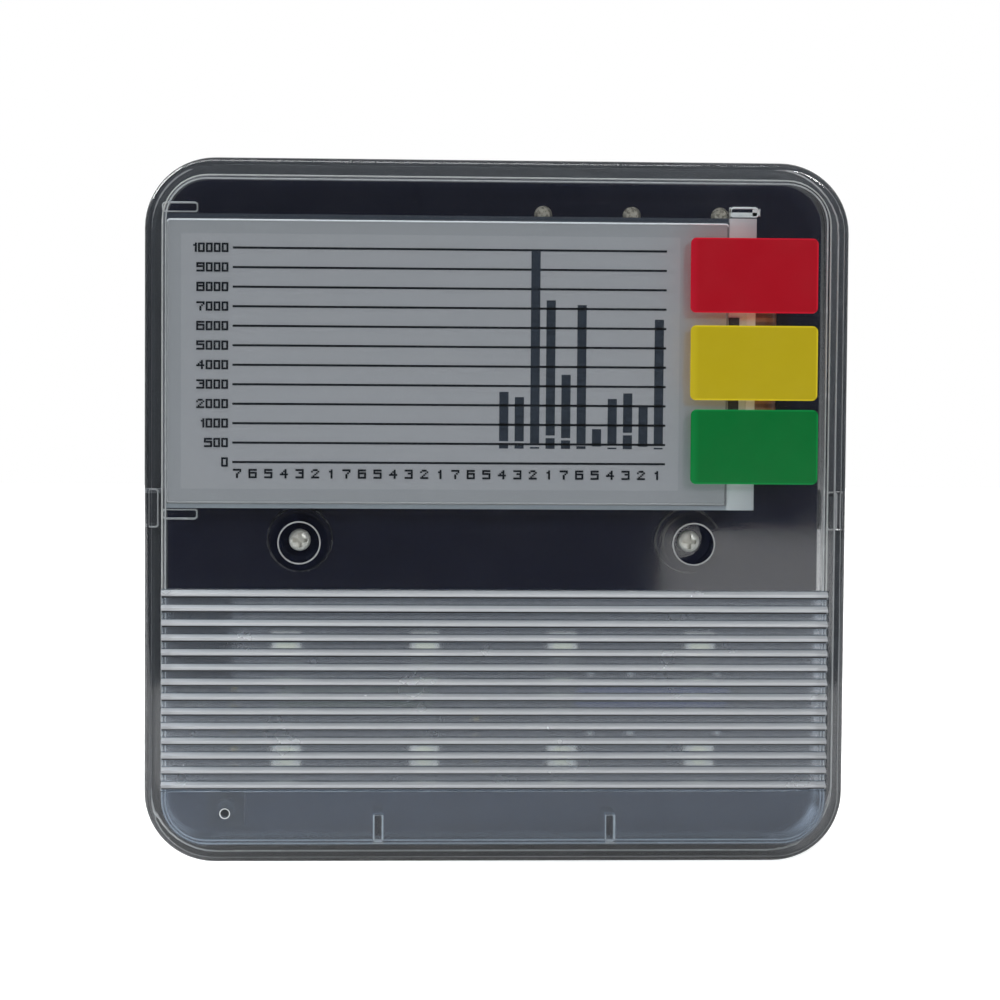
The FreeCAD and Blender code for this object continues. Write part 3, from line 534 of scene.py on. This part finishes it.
def edge_seal_finish():
    material, nodes, links = new_finish("seal_resin_and_highlight")
    shader = nodes["Principled BSDF"]
    height = axis_value(nodes, links, "Z")
    across = axis_value(nodes, links, "X")
    # The seal is grey resin; its top is painted highlight, near white, and its right side is painted shade,
    # dark in the gap next to the glass ledge
    top = fade(nodes, links, height, sheet_high.z - seal_top_soft, sheet_high.z - sheet_edge_soft)
    right = fade(nodes, links, across, sheet_high.x - seal_right_soft, sheet_high.x - sheet_edge_soft)
    cloud = lumps(nodes, links, 0.8 * MM)
    grey = blend(nodes, links, cloud, (0.34, 0.346, 0.352), (0.42, 0.426, 0.432))
    side = blend(nodes, links, right, grey, (0.17, 0.17, 0.18))
    pale = blend(nodes, links, cloud, (0.80, 0.82, 0.85), (0.90, 0.92, 0.94))
    links.new(blend(nodes, links, top, side, pale), shader.inputs["Base Color"])
    vary_gloss(nodes, links, shader, cloud, 0.15, 0.25)
    raise_grain(nodes, links, shader, lumps(nodes, links, 0.2 * MM), 0.004 * MM)
    return material


def display_glass_finish():
    material, nodes, links = new_finish("display_glass_backplane")
    shader = nodes["Principled BSDF"]
    height = axis_value(nodes, links, "Z")
    across = axis_value(nodes, links, "X")
    top = fade(nodes, links, height, film_high.z - glass_top_soft, film_high.z + sheet_edge_soft)
    ledge = fade(nodes, links, across, film_high.x - sheet_edge_soft, film_high.x + sheet_edge_soft)
    cloud = lumps(nodes, links, 3.0 * MM)
    side = blend(nodes, links, cloud, (0.31, 0.345, 0.375), (0.36, 0.395, 0.425))
    dark = blend(nodes, links, top, side, (0.06, 0.07, 0.09))
    # The ledge is pale backing; its fall from light next to the film to darker at the glass edge is painted
    # shade
    across_ledge = fade(nodes, links, across, film_high.x, glass_high.x)
    pale = blend(nodes, links, across_ledge, (0.67, 0.70, 0.71), (0.46, 0.48, 0.50))
    links.new(blend(nodes, links, ledge, dark, pale), shader.inputs["Base Color"])
    vary_gloss(nodes, links, shader, cloud, 0.08, 0.14)
    raise_grain(nodes, links, shader, lumps(nodes, links, 0.6 * MM), 0.001 * MM)
    return material


def board_finish(name, dark, light):
    material, nodes, links = new_finish(name)
    shader = nodes["Principled BSDF"]
    place = nodes.new("ShaderNodeTexCoord")
    tracks = nodes.new("ShaderNodeTexBrick")
    tracks.offset = track_stagger
    tracks.inputs["Scale"].default_value = 1.0 / track_pitch
    tracks.inputs["Mortar Size"].default_value = track_share
    tracks.inputs["Color1"].default_value = (*dark, 1.0)
    tracks.inputs["Color2"].default_value = (*dark, 1.0)
    tracks.inputs["Mortar"].default_value = (*light, 1.0)
    turn = nodes.new("ShaderNodeMapping")
    turn.inputs["Rotation"].default_value = (math.pi / 2, 0.0, 0.0)
    links.new(place.outputs["Object"], turn.inputs["Vector"])
    links.new(turn.outputs["Vector"], tracks.inputs["Vector"])
    cloud = lumps(nodes, links, 8.0 * MM)
    links.new(blend(nodes, links, cloud, tracks.outputs["Color"], dark), shader.inputs["Base Color"])
    vary_gloss(nodes, links, shader, cloud, 0.1, 0.16)
    raise_grain(nodes, links, shader, tracks.outputs["Fac"], 0.002 * MM)
    return material


def ribbon_finish():
    material, nodes, links = new_finish("polyimide_ribbon")
    shader = nodes["Principled BSDF"]
    shader.inputs["Roughness"].default_value = 0.3
    shader.inputs["Coat Weight"].default_value = 0.4
    place = nodes.new("ShaderNodeTexCoord")
    tracks = nodes.new("ShaderNodeTexWave")
    tracks.wave_type = "BANDS"
    tracks.bands_direction = "Z"
    tracks.inputs["Scale"].default_value = 1.0 / ribbon_band
    tracks.inputs["Distortion"].default_value = 0.0
    links.new(place.outputs["Object"], tracks.inputs["Vector"])
    stripes = fade(nodes, links, tracks.outputs["Fac"], 0.35, 0.65)
    amber = blend(nodes, links, stripes, (0.085, 0.032, 0.013), (0.19, 0.08, 0.028))
    past_glass = fade(nodes, links, axis_value(nodes, links, "X"), glass_high.x - sheet_edge_soft,
                      glass_high.x)
    links.new(blend(nodes, links, past_glass, (0.58, 0.56, 0.55), amber), shader.inputs["Base Color"])
    raise_grain(nodes, links, shader, stripes, 0.01 * MM)
    return material


def membrane_finish():
    material, nodes, links = new_finish("woven_membrane")
    shader = nodes["Principled BSDF"]
    shader.inputs["Roughness"].default_value = 0.9
    place = nodes.new("ShaderNodeTexCoord")
    weave = nodes.new("ShaderNodeTexVoronoi")
    weave.inputs["Scale"].default_value = 1.0 / membrane_cell
    links.new(place.outputs["Object"], weave.inputs["Vector"])
    links.new(blend(nodes, links, weave.outputs["Distance"], (0.68, 0.68, 0.66), (0.8, 0.8, 0.78)),
              shader.inputs["Base Color"])
    raise_grain(nodes, links, shader, weave.outputs["Distance"], 0.03 * MM)
    return material


def make_finishes():
    black = (0.012, 0.012, 0.013)
    soot = (0.03, 0.03, 0.032)
    steel_dark = (0.42, 0.42, 0.42)
    steel_light = (0.62, 0.62, 0.61)
    along_x = (0.1, 1.0, 1.0)
    return {
        "display_film": display_film_finish(),
        "display_sheet": display_sheet_finish(),
        "display_glass": display_glass_finish(),
        "label_red": label_finish("red_vinyl", (0.35, 0.005, 0.013), (0.42, 0.006, 0.020),
                                  (0.92, 0.20, 0.14), "label_red"),
        "label_yellow": label_finish("yellow_vinyl", (0.43, 0.34, 0.008), (0.50, 0.40, 0.014),
                                     (1.0, 0.72, 0.22), "label_yellow"),
        "label_green": label_finish("green_vinyl", (0.001, 0.131, 0.025), (0.002, 0.180, 0.038),
                                    (0.34, 0.54, 0.42), "label_green"),
        "cover_screws": plain_finish("zinc_plated_steel", (0.55, 0.54, 0.49), (0.85, 0.84, 0.78),
                                     (0.3, 0.45), 0.5, 0.12, 0.008, metal=0.4),
        "rear_shell": plain_finish("dark_housing_plastic", (0.036, 0.040, 0.048), (0.051, 0.056, 0.066),
                                   (0.45, 0.55), 5.0, 0.18, 0.01, shine=0.5),
        "screw_inserts": plain_finish("knurled_brass", (0.45, 0.30, 0.09), (0.60, 0.42, 0.15),
                                      (0.25, 0.4), 0.6, 0.2, 0.02, metal=1.0),
        "main_board": board_finish("black_solder_resist", (0.0090, 0.0107, 0.0240),
                                   (0.0102, 0.0121, 0.0262)),
        "display_driver_chip": plain_finish("driver_silicon", (0.02, 0.02, 0.024), (0.035, 0.035, 0.04),
                                            (0.15, 0.25), 1.0, 0.3, 0.001),
        "display_spacer": plain_finish("spacer_plastic", black, soot, (0.5, 0.6), 3.0, 0.2, 0.01),
        "display_tape": plain_finish("foam_tape", (0.02, 0.02, 0.02), (0.05, 0.05, 0.05),
                                     (0.85, 0.95), 0.6, 0.15, 0.05),
        "display_ribbon": ribbon_finish(),
        "ribbon_connector": plain_finish("connector_moulding", (0.50, 0.46, 0.37), (0.58, 0.54, 0.44),
                                         (0.45, 0.55), 1.0, 0.15, 0.004),
        "ribbon_latch": plain_finish("latch_moulding", black, soot, (0.4, 0.5), 1.0, 0.15, 0.004),
        "led_packages": plain_finish("white_led_moulding", (0.72, 0.68, 0.60), (0.80, 0.76, 0.68),
                                     (0.4, 0.5), 0.8, 0.2, 0.003),
        "led_lenses": plain_finish("cast_led_lens", (0.92, 0.86, 0.62), (0.97, 0.94, 0.74),
                                   (0.08, 0.15), 0.5, 0.3, 0.003),
        "switch_base": plain_finish("switch_moulding", black, soot, (0.4, 0.55), 1.0, 0.15, 0.005),
        "switch_plate": plain_finish("blackened_steel", (0.02, 0.02, 0.022), (0.045, 0.045, 0.047),
                                     (0.3, 0.45), 0.8, 0.1, 0.003, metal=1.0, stretch=along_x),
        "switch_plunger": plain_finish("plunger_moulding", (0.02, 0.02, 0.02), (0.045, 0.045, 0.045),
                                       (0.35, 0.5), 0.8, 0.1, 0.004),
        "switch_dome": plain_finish("dome_steel", steel_dark, steel_light, (0.2, 0.3),
                                    0.8, 0.1, 0.002, metal=1.0),
        "humidity_sensor": plain_finish("sensor_moulding", black, soot, (0.35, 0.5), 0.8, 0.1, 0.004),
        "co2_sensor_board": board_finish("green_solder_resist", (0.004, 0.045, 0.012),
                                         (0.008, 0.08, 0.022)),
        "co2_sensor_housing": plain_finish("gold_plated_housing", (0.62, 0.44, 0.14), (0.78, 0.60, 0.25),
                                           (0.22, 0.32), 3.0, 0.3, 0.004, metal=1.0),
        "co2_sensor_filter": membrane_finish(),
        "co2_sensor_pins": plain_finish("gold_plated_pin", (0.6, 0.42, 0.13), (0.76, 0.58, 0.22),
                                        (0.2, 0.3), 0.5, 0.1, 0.003, metal=1.0),
        "radio_board": board_finish("blue_solder_resist", (0.004, 0.007, 0.03), (0.01, 0.018, 0.06)),
        "radio_shield": plain_finish("shield_steel", steel_dark, steel_light, (0.25, 0.4),
                                     4.0, 0.15, 0.004, metal=1.0, stretch=along_x),
        "relay_case": plain_finish("relay_moulding", (0.004, 0.02, 0.13), (0.008, 0.035, 0.19),
                                   (0.25, 0.35), 3.0, 0.3, 0.004),
        "relay_pins": plain_finish("relay_pin_tin", steel_dark, steel_light, (0.3, 0.45),
                                   0.6, 0.1, 0.004, metal=1.0),
        "terminal_block": plain_finish("terminal_moulding", (0.004, 0.06, 0.02), (0.008, 0.09, 0.03),
                                       (0.4, 0.5), 2.0, 0.2, 0.006),
        "terminal_cages": plain_finish("cage_plating", (0.38, 0.38, 0.36), (0.55, 0.55, 0.52),
                                       (0.3, 0.45), 1.0, 0.15, 0.005, metal=1.0),
        "terminal_screws": plain_finish("terminal_screw_plating", (0.45, 0.45, 0.42), (0.6, 0.6, 0.57),
                                        (0.25, 0.4), 0.7, 0.12, 0.006, metal=1.0),
        "terminal_pins": plain_finish("soft_solder", (0.20, 0.18, 0.14), (0.56, 0.53, 0.45),
                                      (0.2, 0.38), 0.5, 0.15, 0.006, metal=0.5),
        "power_inductor": plain_finish("sintered_ferrite", (0.02, 0.02, 0.02), (0.05, 0.05, 0.05),
                                       (0.6, 0.75), 0.8, 0.15, 0.015),
        "capacitor_bases": plain_finish("capacitor_base_moulding", black, soot, (0.4, 0.5), 1.0, 0.15, 0.005),
        "capacitor_cans": plain_finish("drawn_aluminium", (0.52, 0.53, 0.54), (0.68, 0.69, 0.70),
                                       (0.25, 0.35), 1.5, 0.12, 0.004, metal=1.0),
        "control_chips": plain_finish("chip_moulding", (0.015, 0.015, 0.015), (0.03, 0.03, 0.03),
                                      (0.5, 0.6), 1.0, 0.08, 0.006),
        "chip_leads": plain_finish("lead_tin", steel_dark, steel_light, (0.3, 0.4),
                                   0.5, 0.08, 0.003, metal=1.0),
        "chip_capacitors": plain_finish("fired_ceramic", (0.25, 0.15, 0.07), (0.32, 0.20, 0.10),
                                        (0.4, 0.5), 0.6, 0.1, 0.005),
        "chip_resistors": plain_finish("resistor_glaze", (0.015, 0.015, 0.017), (0.035, 0.035, 0.04),
                                       (0.3, 0.4), 0.6, 0.1, 0.004),
        "front_cover": clear_cover_finish(),
        "ink": plain_finish("display_ink", (0.021, 0.028, 0.040), (0.031, 0.040, 0.055),
                            (0.5, 0.6), 0.4, 0.08, 0.001, shine=0.1),
        "fine_ink": plain_finish("display_fine_ink", (0.004, 0.006, 0.010), (0.008, 0.011, 0.016),
                                 (0.5, 0.6), 0.4, 0.08, 0.001, shine=0.1),
        "edge_seal": edge_seal_finish(),
        # The last five finishes are painted highlights: pale lines and rings along the clear cover's edges,
        # wells, ribs and notches, and a faint ring on the board
        "strong_highlight": plain_finish("strong_edge_highlight", (0.66, 0.68, 0.68), (0.84, 0.86, 0.86),
                                    (0.1, 0.2), 1.0, 0.2, 0.002),
        "mild_highlight": plain_finish("mild_edge_highlight", (0.30, 0.31, 0.32), (0.46, 0.47, 0.48),
                                  (0.15, 0.3), 1.5, 0.2, 0.002),
        "well_highlight": plain_finish("well_mouth_highlight", (0.25, 0.26, 0.27), (0.37, 0.38, 0.39),
                                  (0.15, 0.3), 1.5, 0.2, 0.002),
        "faint_highlight": plain_finish("faint_board_glint", (0.018, 0.020, 0.026), (0.030, 0.032, 0.038),
                                   (0.2, 0.35), 1.5, 0.2, 0.002),
        "fillet_highlight": plain_finish("painted_fillet_highlight", (0.42, 0.42, 0.41), (0.52, 0.52, 0.51),
                                     (0.15, 0.3), 2.0, 0.2, 0.002),
    }


def dress(piece, material):
    if not piece.material_slots:
        piece.data.materials.append(material)
    for slot in piece.material_slots:
        slot.material = material


# New pieces, modelled from primitives

def start_clean():
    if bpy.context.object and bpy.context.object.mode != "OBJECT":
        bpy.ops.object.mode_set(mode="OBJECT")
    bpy.ops.object.select_all(action="DESELECT")


def edit_all(piece):
    bpy.context.view_layer.objects.active = piece
    piece.select_set(True)
    bpy.ops.object.mode_set(mode="EDIT")
    bpy.ops.mesh.select_all(action="SELECT")


def settle(piece):
    start_clean()
    piece.select_set(True)
    bpy.context.view_layer.objects.active = piece
    bpy.ops.object.transform_apply(location=True, rotation=True, scale=True)


def join_pieces(pieces, name):
    start_clean()
    for piece in pieces:
        piece.select_set(True)
    bpy.context.view_layer.objects.active = pieces[0]
    bpy.ops.object.join()
    pieces[0].name = name
    settle(pieces[0])
    return pieces[0]


def thin_plate(left, right, low, high, face, thickness, corner):
    start_clean()
    place = ((left + right) / 2, face, (low + high) / 2)
    bpy.ops.mesh.primitive_plane_add(size=1.0, location=place, rotation=(math.pi / 2, 0.0, 0.0))
    plate = bpy.context.object
    plate.scale = (right - left, high - low, 1.0)
    settle(plate)
    edit_all(plate)
    bpy.ops.mesh.bevel(offset=corner, segments=2, affect="VERTICES")
    bpy.ops.mesh.select_all(action="SELECT")
    bpy.ops.mesh.extrude_region_move(TRANSFORM_OT_translate={"value": (0.0, -thickness, 0.0)})
    bpy.ops.mesh.select_all(action="SELECT")
    bpy.ops.mesh.normals_make_consistent(inside=False)
    bpy.ops.object.mode_set(mode="OBJECT")
    return plate


def inked_plate(left, right, low, high):
    return thin_plate(left, right, low, high, sheet_low.y, ink_thickness, ink_corner)


def line_height(index_from_foot):
    return chart_top - line_pitch * (line_count - 1 - index_from_foot)


def make_chart_lines():
    lines = []
    for index in range(line_count):
        middle = line_height(index)
        low = middle - line_thickness / 2
        high = middle + line_thickness / 2
        lines.append(inked_plate(chart_left, chart_right, low, high))
    return join_pieces(lines, "chart_lines")


# Each day's bar, in lines above the foot line: its top, and the pale gap near its foot
day_bars = (
    (3.70, 1.15, 1.00),
    (3.43, 1.15, 1.00),
    (10.97, 1.06, 0.86),
    (8.43, 1.46, 1.32),
    (4.60, 1.33, 1.21),
    (8.20, 1.06, 0.91),
    (1.80, 0.0, 0.0),
    (3.37, 1.00, 0.85),
    (3.66, 1.62, 1.49),
    (2.96, 0.0, 0.0),
    (7.48, 0.97, 0.85),
)


def make_chart_bars():
    bars = []
    for day, (top, gap_top, gap_foot) in enumerate(day_bars):
        left = first_bar + day * bar_pitch - bar_width / 2
        right = left + bar_width
        spans = [(gap_top, top), (split_bar_foot, gap_foot)] if gap_top else [(whole_bar_foot, top)]
        for low, high in spans:
            bars.append(inked_plate(left, right, line_height(low), line_height(high)))
    return join_pieces(bars, "chart_bars")


# Plain dotted numerals, one row of dots per word
numeral_dots = {
    "0": "#### #..# #..# #..# #..# ####",
    "1": ".# ## .# .# .# .#",
    "2": ".###. #...# ...#. ..#.. .#... #####",
    "3": "##### ....# ..### ....# ....# #####",
    "4": "...#. ..##. .#.#. ##### ...#. ...#.",
    "5": "##### #.... ##### ....# ....# #####",
    "6": "##### #.... ##### #...# #...# #####",
    "7": "##### ....# ...#. ..#.. ..#.. ..#..",
    "8": "##### #...# ##### #...# #...# #####",
    "9": "##### #...# ##### ....# ....# #####",
}


def model_numeral(figure):
    rows = numeral_dots[figure].split()
    columns = len(rows[0])
    start_clean()
    bpy.ops.mesh.primitive_grid_add(x_subdivisions=columns, y_subdivisions=len(rows), size=1.0,
                                    rotation=(math.pi / 2, 0.0, 0.0))
    numeral = bpy.context.object
    numeral.scale = (columns * dot_width, len(rows) * dot_height, 1.0)
    settle(numeral)
    for face in numeral.data.polygons:
        column = int((face.center.x / dot_width) + columns / 2)
        row = int(len(rows) / 2 - face.center.z / dot_height)
        face.select = rows[row][column] == "."
    for edge in numeral.data.edges:
        edge.select = False
    for corner in numeral.data.vertices:
        corner.select = False
    bpy.context.tool_settings.mesh_select_mode = (False, False, True)
    bpy.context.view_layer.objects.active = numeral
    bpy.ops.object.mode_set(mode="EDIT")
    if "." in numeral_dots[figure]:
        bpy.ops.mesh.delete(type="FACE")
    bpy.ops.mesh.select_all(action="SELECT")
    bpy.ops.mesh.extrude_region_move(TRANSFORM_OT_translate={"value": (0.0, -ink_thickness, 0.0)})
    bpy.ops.mesh.select_all(action="SELECT")
    bpy.ops.mesh.normals_make_consistent(inside=False)
    bpy.ops.transform.shrink_fatten(value=numeral_growth)
    bpy.ops.object.mode_set(mode="OBJECT")
    return numeral, columns


def place_numeral(model, x, z):
    copy = model.copy()
    copy.data = model.data.copy()
    copy.location = (x, sheet_low.y, z)
    bpy.context.scene.collection.objects.link(copy)
    return copy


def make_scale_numbers(models):
    numbers = [0, 500, *range(1000, 10001, 1000)]
    copies = []
    for index, number in enumerate(numbers):
        right = scale_right
        for figure in reversed(str(number)):
            model, columns = models[figure]
            copies.append(place_numeral(model, right - columns * dot_width / 2, line_height(index)))
            right -= (columns + 1) * dot_width
    return join_pieces(copies, "scale_numbers")


def make_day_numbers(models):
    copies = []
    last_bar = first_bar + (len(day_bars) - 1) * bar_pitch - day_shift
    for step in range(day_number_count):
        model, columns = models[str(step % week_length + 1)]
        copies.append(place_numeral(model, last_bar - step * bar_pitch, day_line))
    return join_pieces(copies, "day_numbers")


def rounded_loop(name, left, right, low, high, y, corner, thickness):
    start_clean()
    place = ((left + right) / 2, y, (low + high) / 2)
    bpy.ops.mesh.primitive_plane_add(size=1.0, location=place, rotation=(math.pi / 2, 0.0, 0.0))
    loop = bpy.context.object
    loop.name = name
    loop.scale = (right - left, high - low, 1.0)
    settle(loop)
    edit_all(loop)
    bpy.ops.mesh.bevel(offset=corner, segments=loop_corner_steps, affect="VERTICES")
    bpy.ops.mesh.select_all(action="SELECT")
    bpy.ops.mesh.delete(type="ONLY_FACE")
    bpy.ops.object.mode_set(mode="OBJECT")
    bpy.ops.object.convert(target="CURVE")
    loop = bpy.context.object
    loop.data.dimensions = "3D"
    loop.data.bevel_depth = thickness / 2
    loop.data.bevel_resolution = 3
    bpy.ops.object.convert(target="MESH")
    loop = bpy.context.object
    bpy.ops.object.shade_smooth()
    return loop


def thin_ring(x, height, y, radius, thickness):
    start_clean()
    bpy.ops.mesh.primitive_torus_add(location=(x, y, height), rotation=(math.pi / 2, 0.0, 0.0),
                                     major_radius=radius, minor_radius=thickness / 2,
                                     major_segments=ring_steps, minor_segments=8)
    ring = bpy.context.object
    bpy.ops.object.shade_smooth()
    settle(ring)
    return ring


# Painted highlights: the rings and loops below are thin pale lines that stand for glints at the cover's
# wells, locating ribs, stop ribs and side notches, and a faint ring on the board
def make_well_rings(name, radius, y, thickness):
    sides = (-screw_half_spacing, screw_half_spacing)
    return join_pieces([thin_ring(x, screw_height, y, radius, thickness) for x in sides], name)


def tab_loop(place, y, thickness):
    left, right, low, high = (side * MM for side in place)
    half = thickness / 2
    return rounded_loop("tab_loop", left + half, right - half, low + half, high - half, y,
                        tab_corner, thickness)


def make_left_locator_edges():
    loops = [tab_loop(place, locator_back - edge_line, edge_line) for place in left_locators]
    return join_pieces(loops, "left_locator_glints")


def make_right_locator_edge():
    left, right, low, high = (side * MM for side in right_locator)
    face = locator_back - edge_line
    foot = low + edge_line
    band = thin_plate(left + edge_line, right - edge_line, foot, (low + high) / 2, face,
                      locator_plate_corner, locator_plate)
    end = thin_plate(right - locator_end, right - edge_line, foot, high - edge_line, face,
                     locator_plate_corner, locator_plate)
    return join_pieces([tab_loop(right_locator, face, edge_line), band, end], "right_locator_glint")


def make_stop_rib_edges():
    loops = []
    for middle in (-rib_half_spacing, rib_half_spacing):
        loops.append(rounded_loop("rib_glint_loop", middle - rib_half_width + edge_line / 2,
                                  middle + rib_half_width - edge_line / 2,
                                  cavity_floor + edge_line, rib_top - edge_line / 2,
                                  plate_back + rib_line_depth, rib_corner, edge_line))
    return join_pieces(loops, "stop_rib_glints")


def make_notch_edges():
    left, right, low, high = notch_sides
    face = board_high.y - edge_line / 2
    loops = [tab_loop(place, face, edge_line) for place in (notch_sides, (-right, -left, low, high))]
    return join_pieces(loops, "notch_glints")


def smooth_copy(node, name):
    start_clean()
    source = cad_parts[node]
    piece = source.copy()
    piece.data = source.data.copy()
    piece.name = name
    bpy.context.scene.collection.objects.link(piece)
    edit_all(piece)
    bpy.ops.mesh.customdata_custom_splitnormals_clear()
    bpy.ops.mesh.remove_doubles(threshold=merge_distance)
    bpy.ops.object.mode_set(mode="OBJECT")
    bpy.ops.object.shade_smooth_by_angle(angle=smooth_angle)
    return piece


def add_piece(piece, body, material):
    dress(piece, material)
    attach(piece, body)


bpy.context.scene.view_settings.view_transform = "Standard"
add_camera()
add_lamps()
add_surroundings()
add_floor()

finishes = make_finishes()
for node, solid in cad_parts.items():
    dress(solid, finishes[node])

add_piece(make_chart_lines(), "base", finishes["fine_ink"])
add_piece(make_chart_bars(), "base", finishes["ink"])
numerals = {figure: model_numeral(figure) for figure in numeral_dots}
add_piece(make_scale_numbers(numerals), "base", finishes["fine_ink"])
add_piece(make_day_numbers(numerals), "base", finishes["fine_ink"])
for model, _ in numerals.values():
    bpy.data.objects.remove(model)

seal = rounded_loop("display_edge_seal", sheet_low.x, sheet_high.x, sheet_low.z, sheet_high.z,
                    sheet_low.y, seal_corner, seal_thickness)
add_piece(seal, "base", finishes["edge_seal"])

# Painted highlights: thin pale loops along the cover's inner fillet, inner edge and skirt, rings at the
# wells, board and pinhole, and outlines of the locating ribs, stop ribs and notches
fillet_half = fillet_thickness / 2
fillet = rounded_loop("cover_fillet_glint", -cover_inner_half + fillet_half, cover_inner_half - fillet_half,
                      cavity_floor + fillet_half, cavity_top - fillet_half,
                      plate_back + fillet_half, cavity_corner, fillet_thickness)
add_piece(fillet, "cover", finishes["fillet_highlight"])
inner_line = rounded_loop("cover_inner_glint_line", inner_line_inset - cover_inner_half,
                          cover_inner_half - inner_line_inset, cavity_floor + inner_line_inset,
                          cavity_top - inner_line_inset, plate_back, cavity_corner - inner_line_inset,
                          edge_line)
add_piece(inner_line, "cover", finishes["mild_highlight"])
skirt_line = rounded_loop("cover_skirt_glint_line", cover_low.x + skirt_line_inset, cover_high.x - skirt_line_inset,
                          cover_low.z + skirt_line_inset, cover_high.z - skirt_line_inset, skirt_line_depth,
                          cover_corner - skirt_line_inset, edge_line)
add_piece(skirt_line, "cover", finishes["mild_highlight"])
ring_half = edge_line / 2
well_half = well_line / 2
add_piece(make_well_rings("well_glint_rings", well_radius - well_half, cover_low.y + well_half, well_line),
          "cover", finishes["well_highlight"])
add_piece(make_well_rings("board_glint_rings", board_ring_radius, board_low.y, edge_line),
          "base", finishes["faint_highlight"])
add_piece(make_left_locator_edges(), "cover", finishes["mild_highlight"])
add_piece(make_right_locator_edge(), "cover", finishes["strong_highlight"])
add_piece(make_stop_rib_edges(), "cover", finishes["strong_highlight"])
add_piece(make_notch_edges(), "cover", finishes["mild_highlight"])
pinhole_glint_ring = thin_ring(pinhole_x, pinhole_height, cover_low.y + ring_half / 2,
                         pinhole_radius - ring_half / 2, ring_half)
pinhole_glint_ring.name = "pinhole_glint_ring"
add_piece(pinhole_glint_ring, "cover", finishes["strong_highlight"])

for node, body, slot in (("front_cover", "cover", "clear_cover"), ("cover_screws", "cover", "screw_steel"),
                         ("terminal_pins", "base", "solder_tinned"), ("led_lenses", "base", "led_lens"),
                         ("rear_shell", "base", "shell_plastic")):
    piece = smooth_copy(node, "smooth_" + node)
    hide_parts(node)
    add_piece(piece, body, finishes[node])
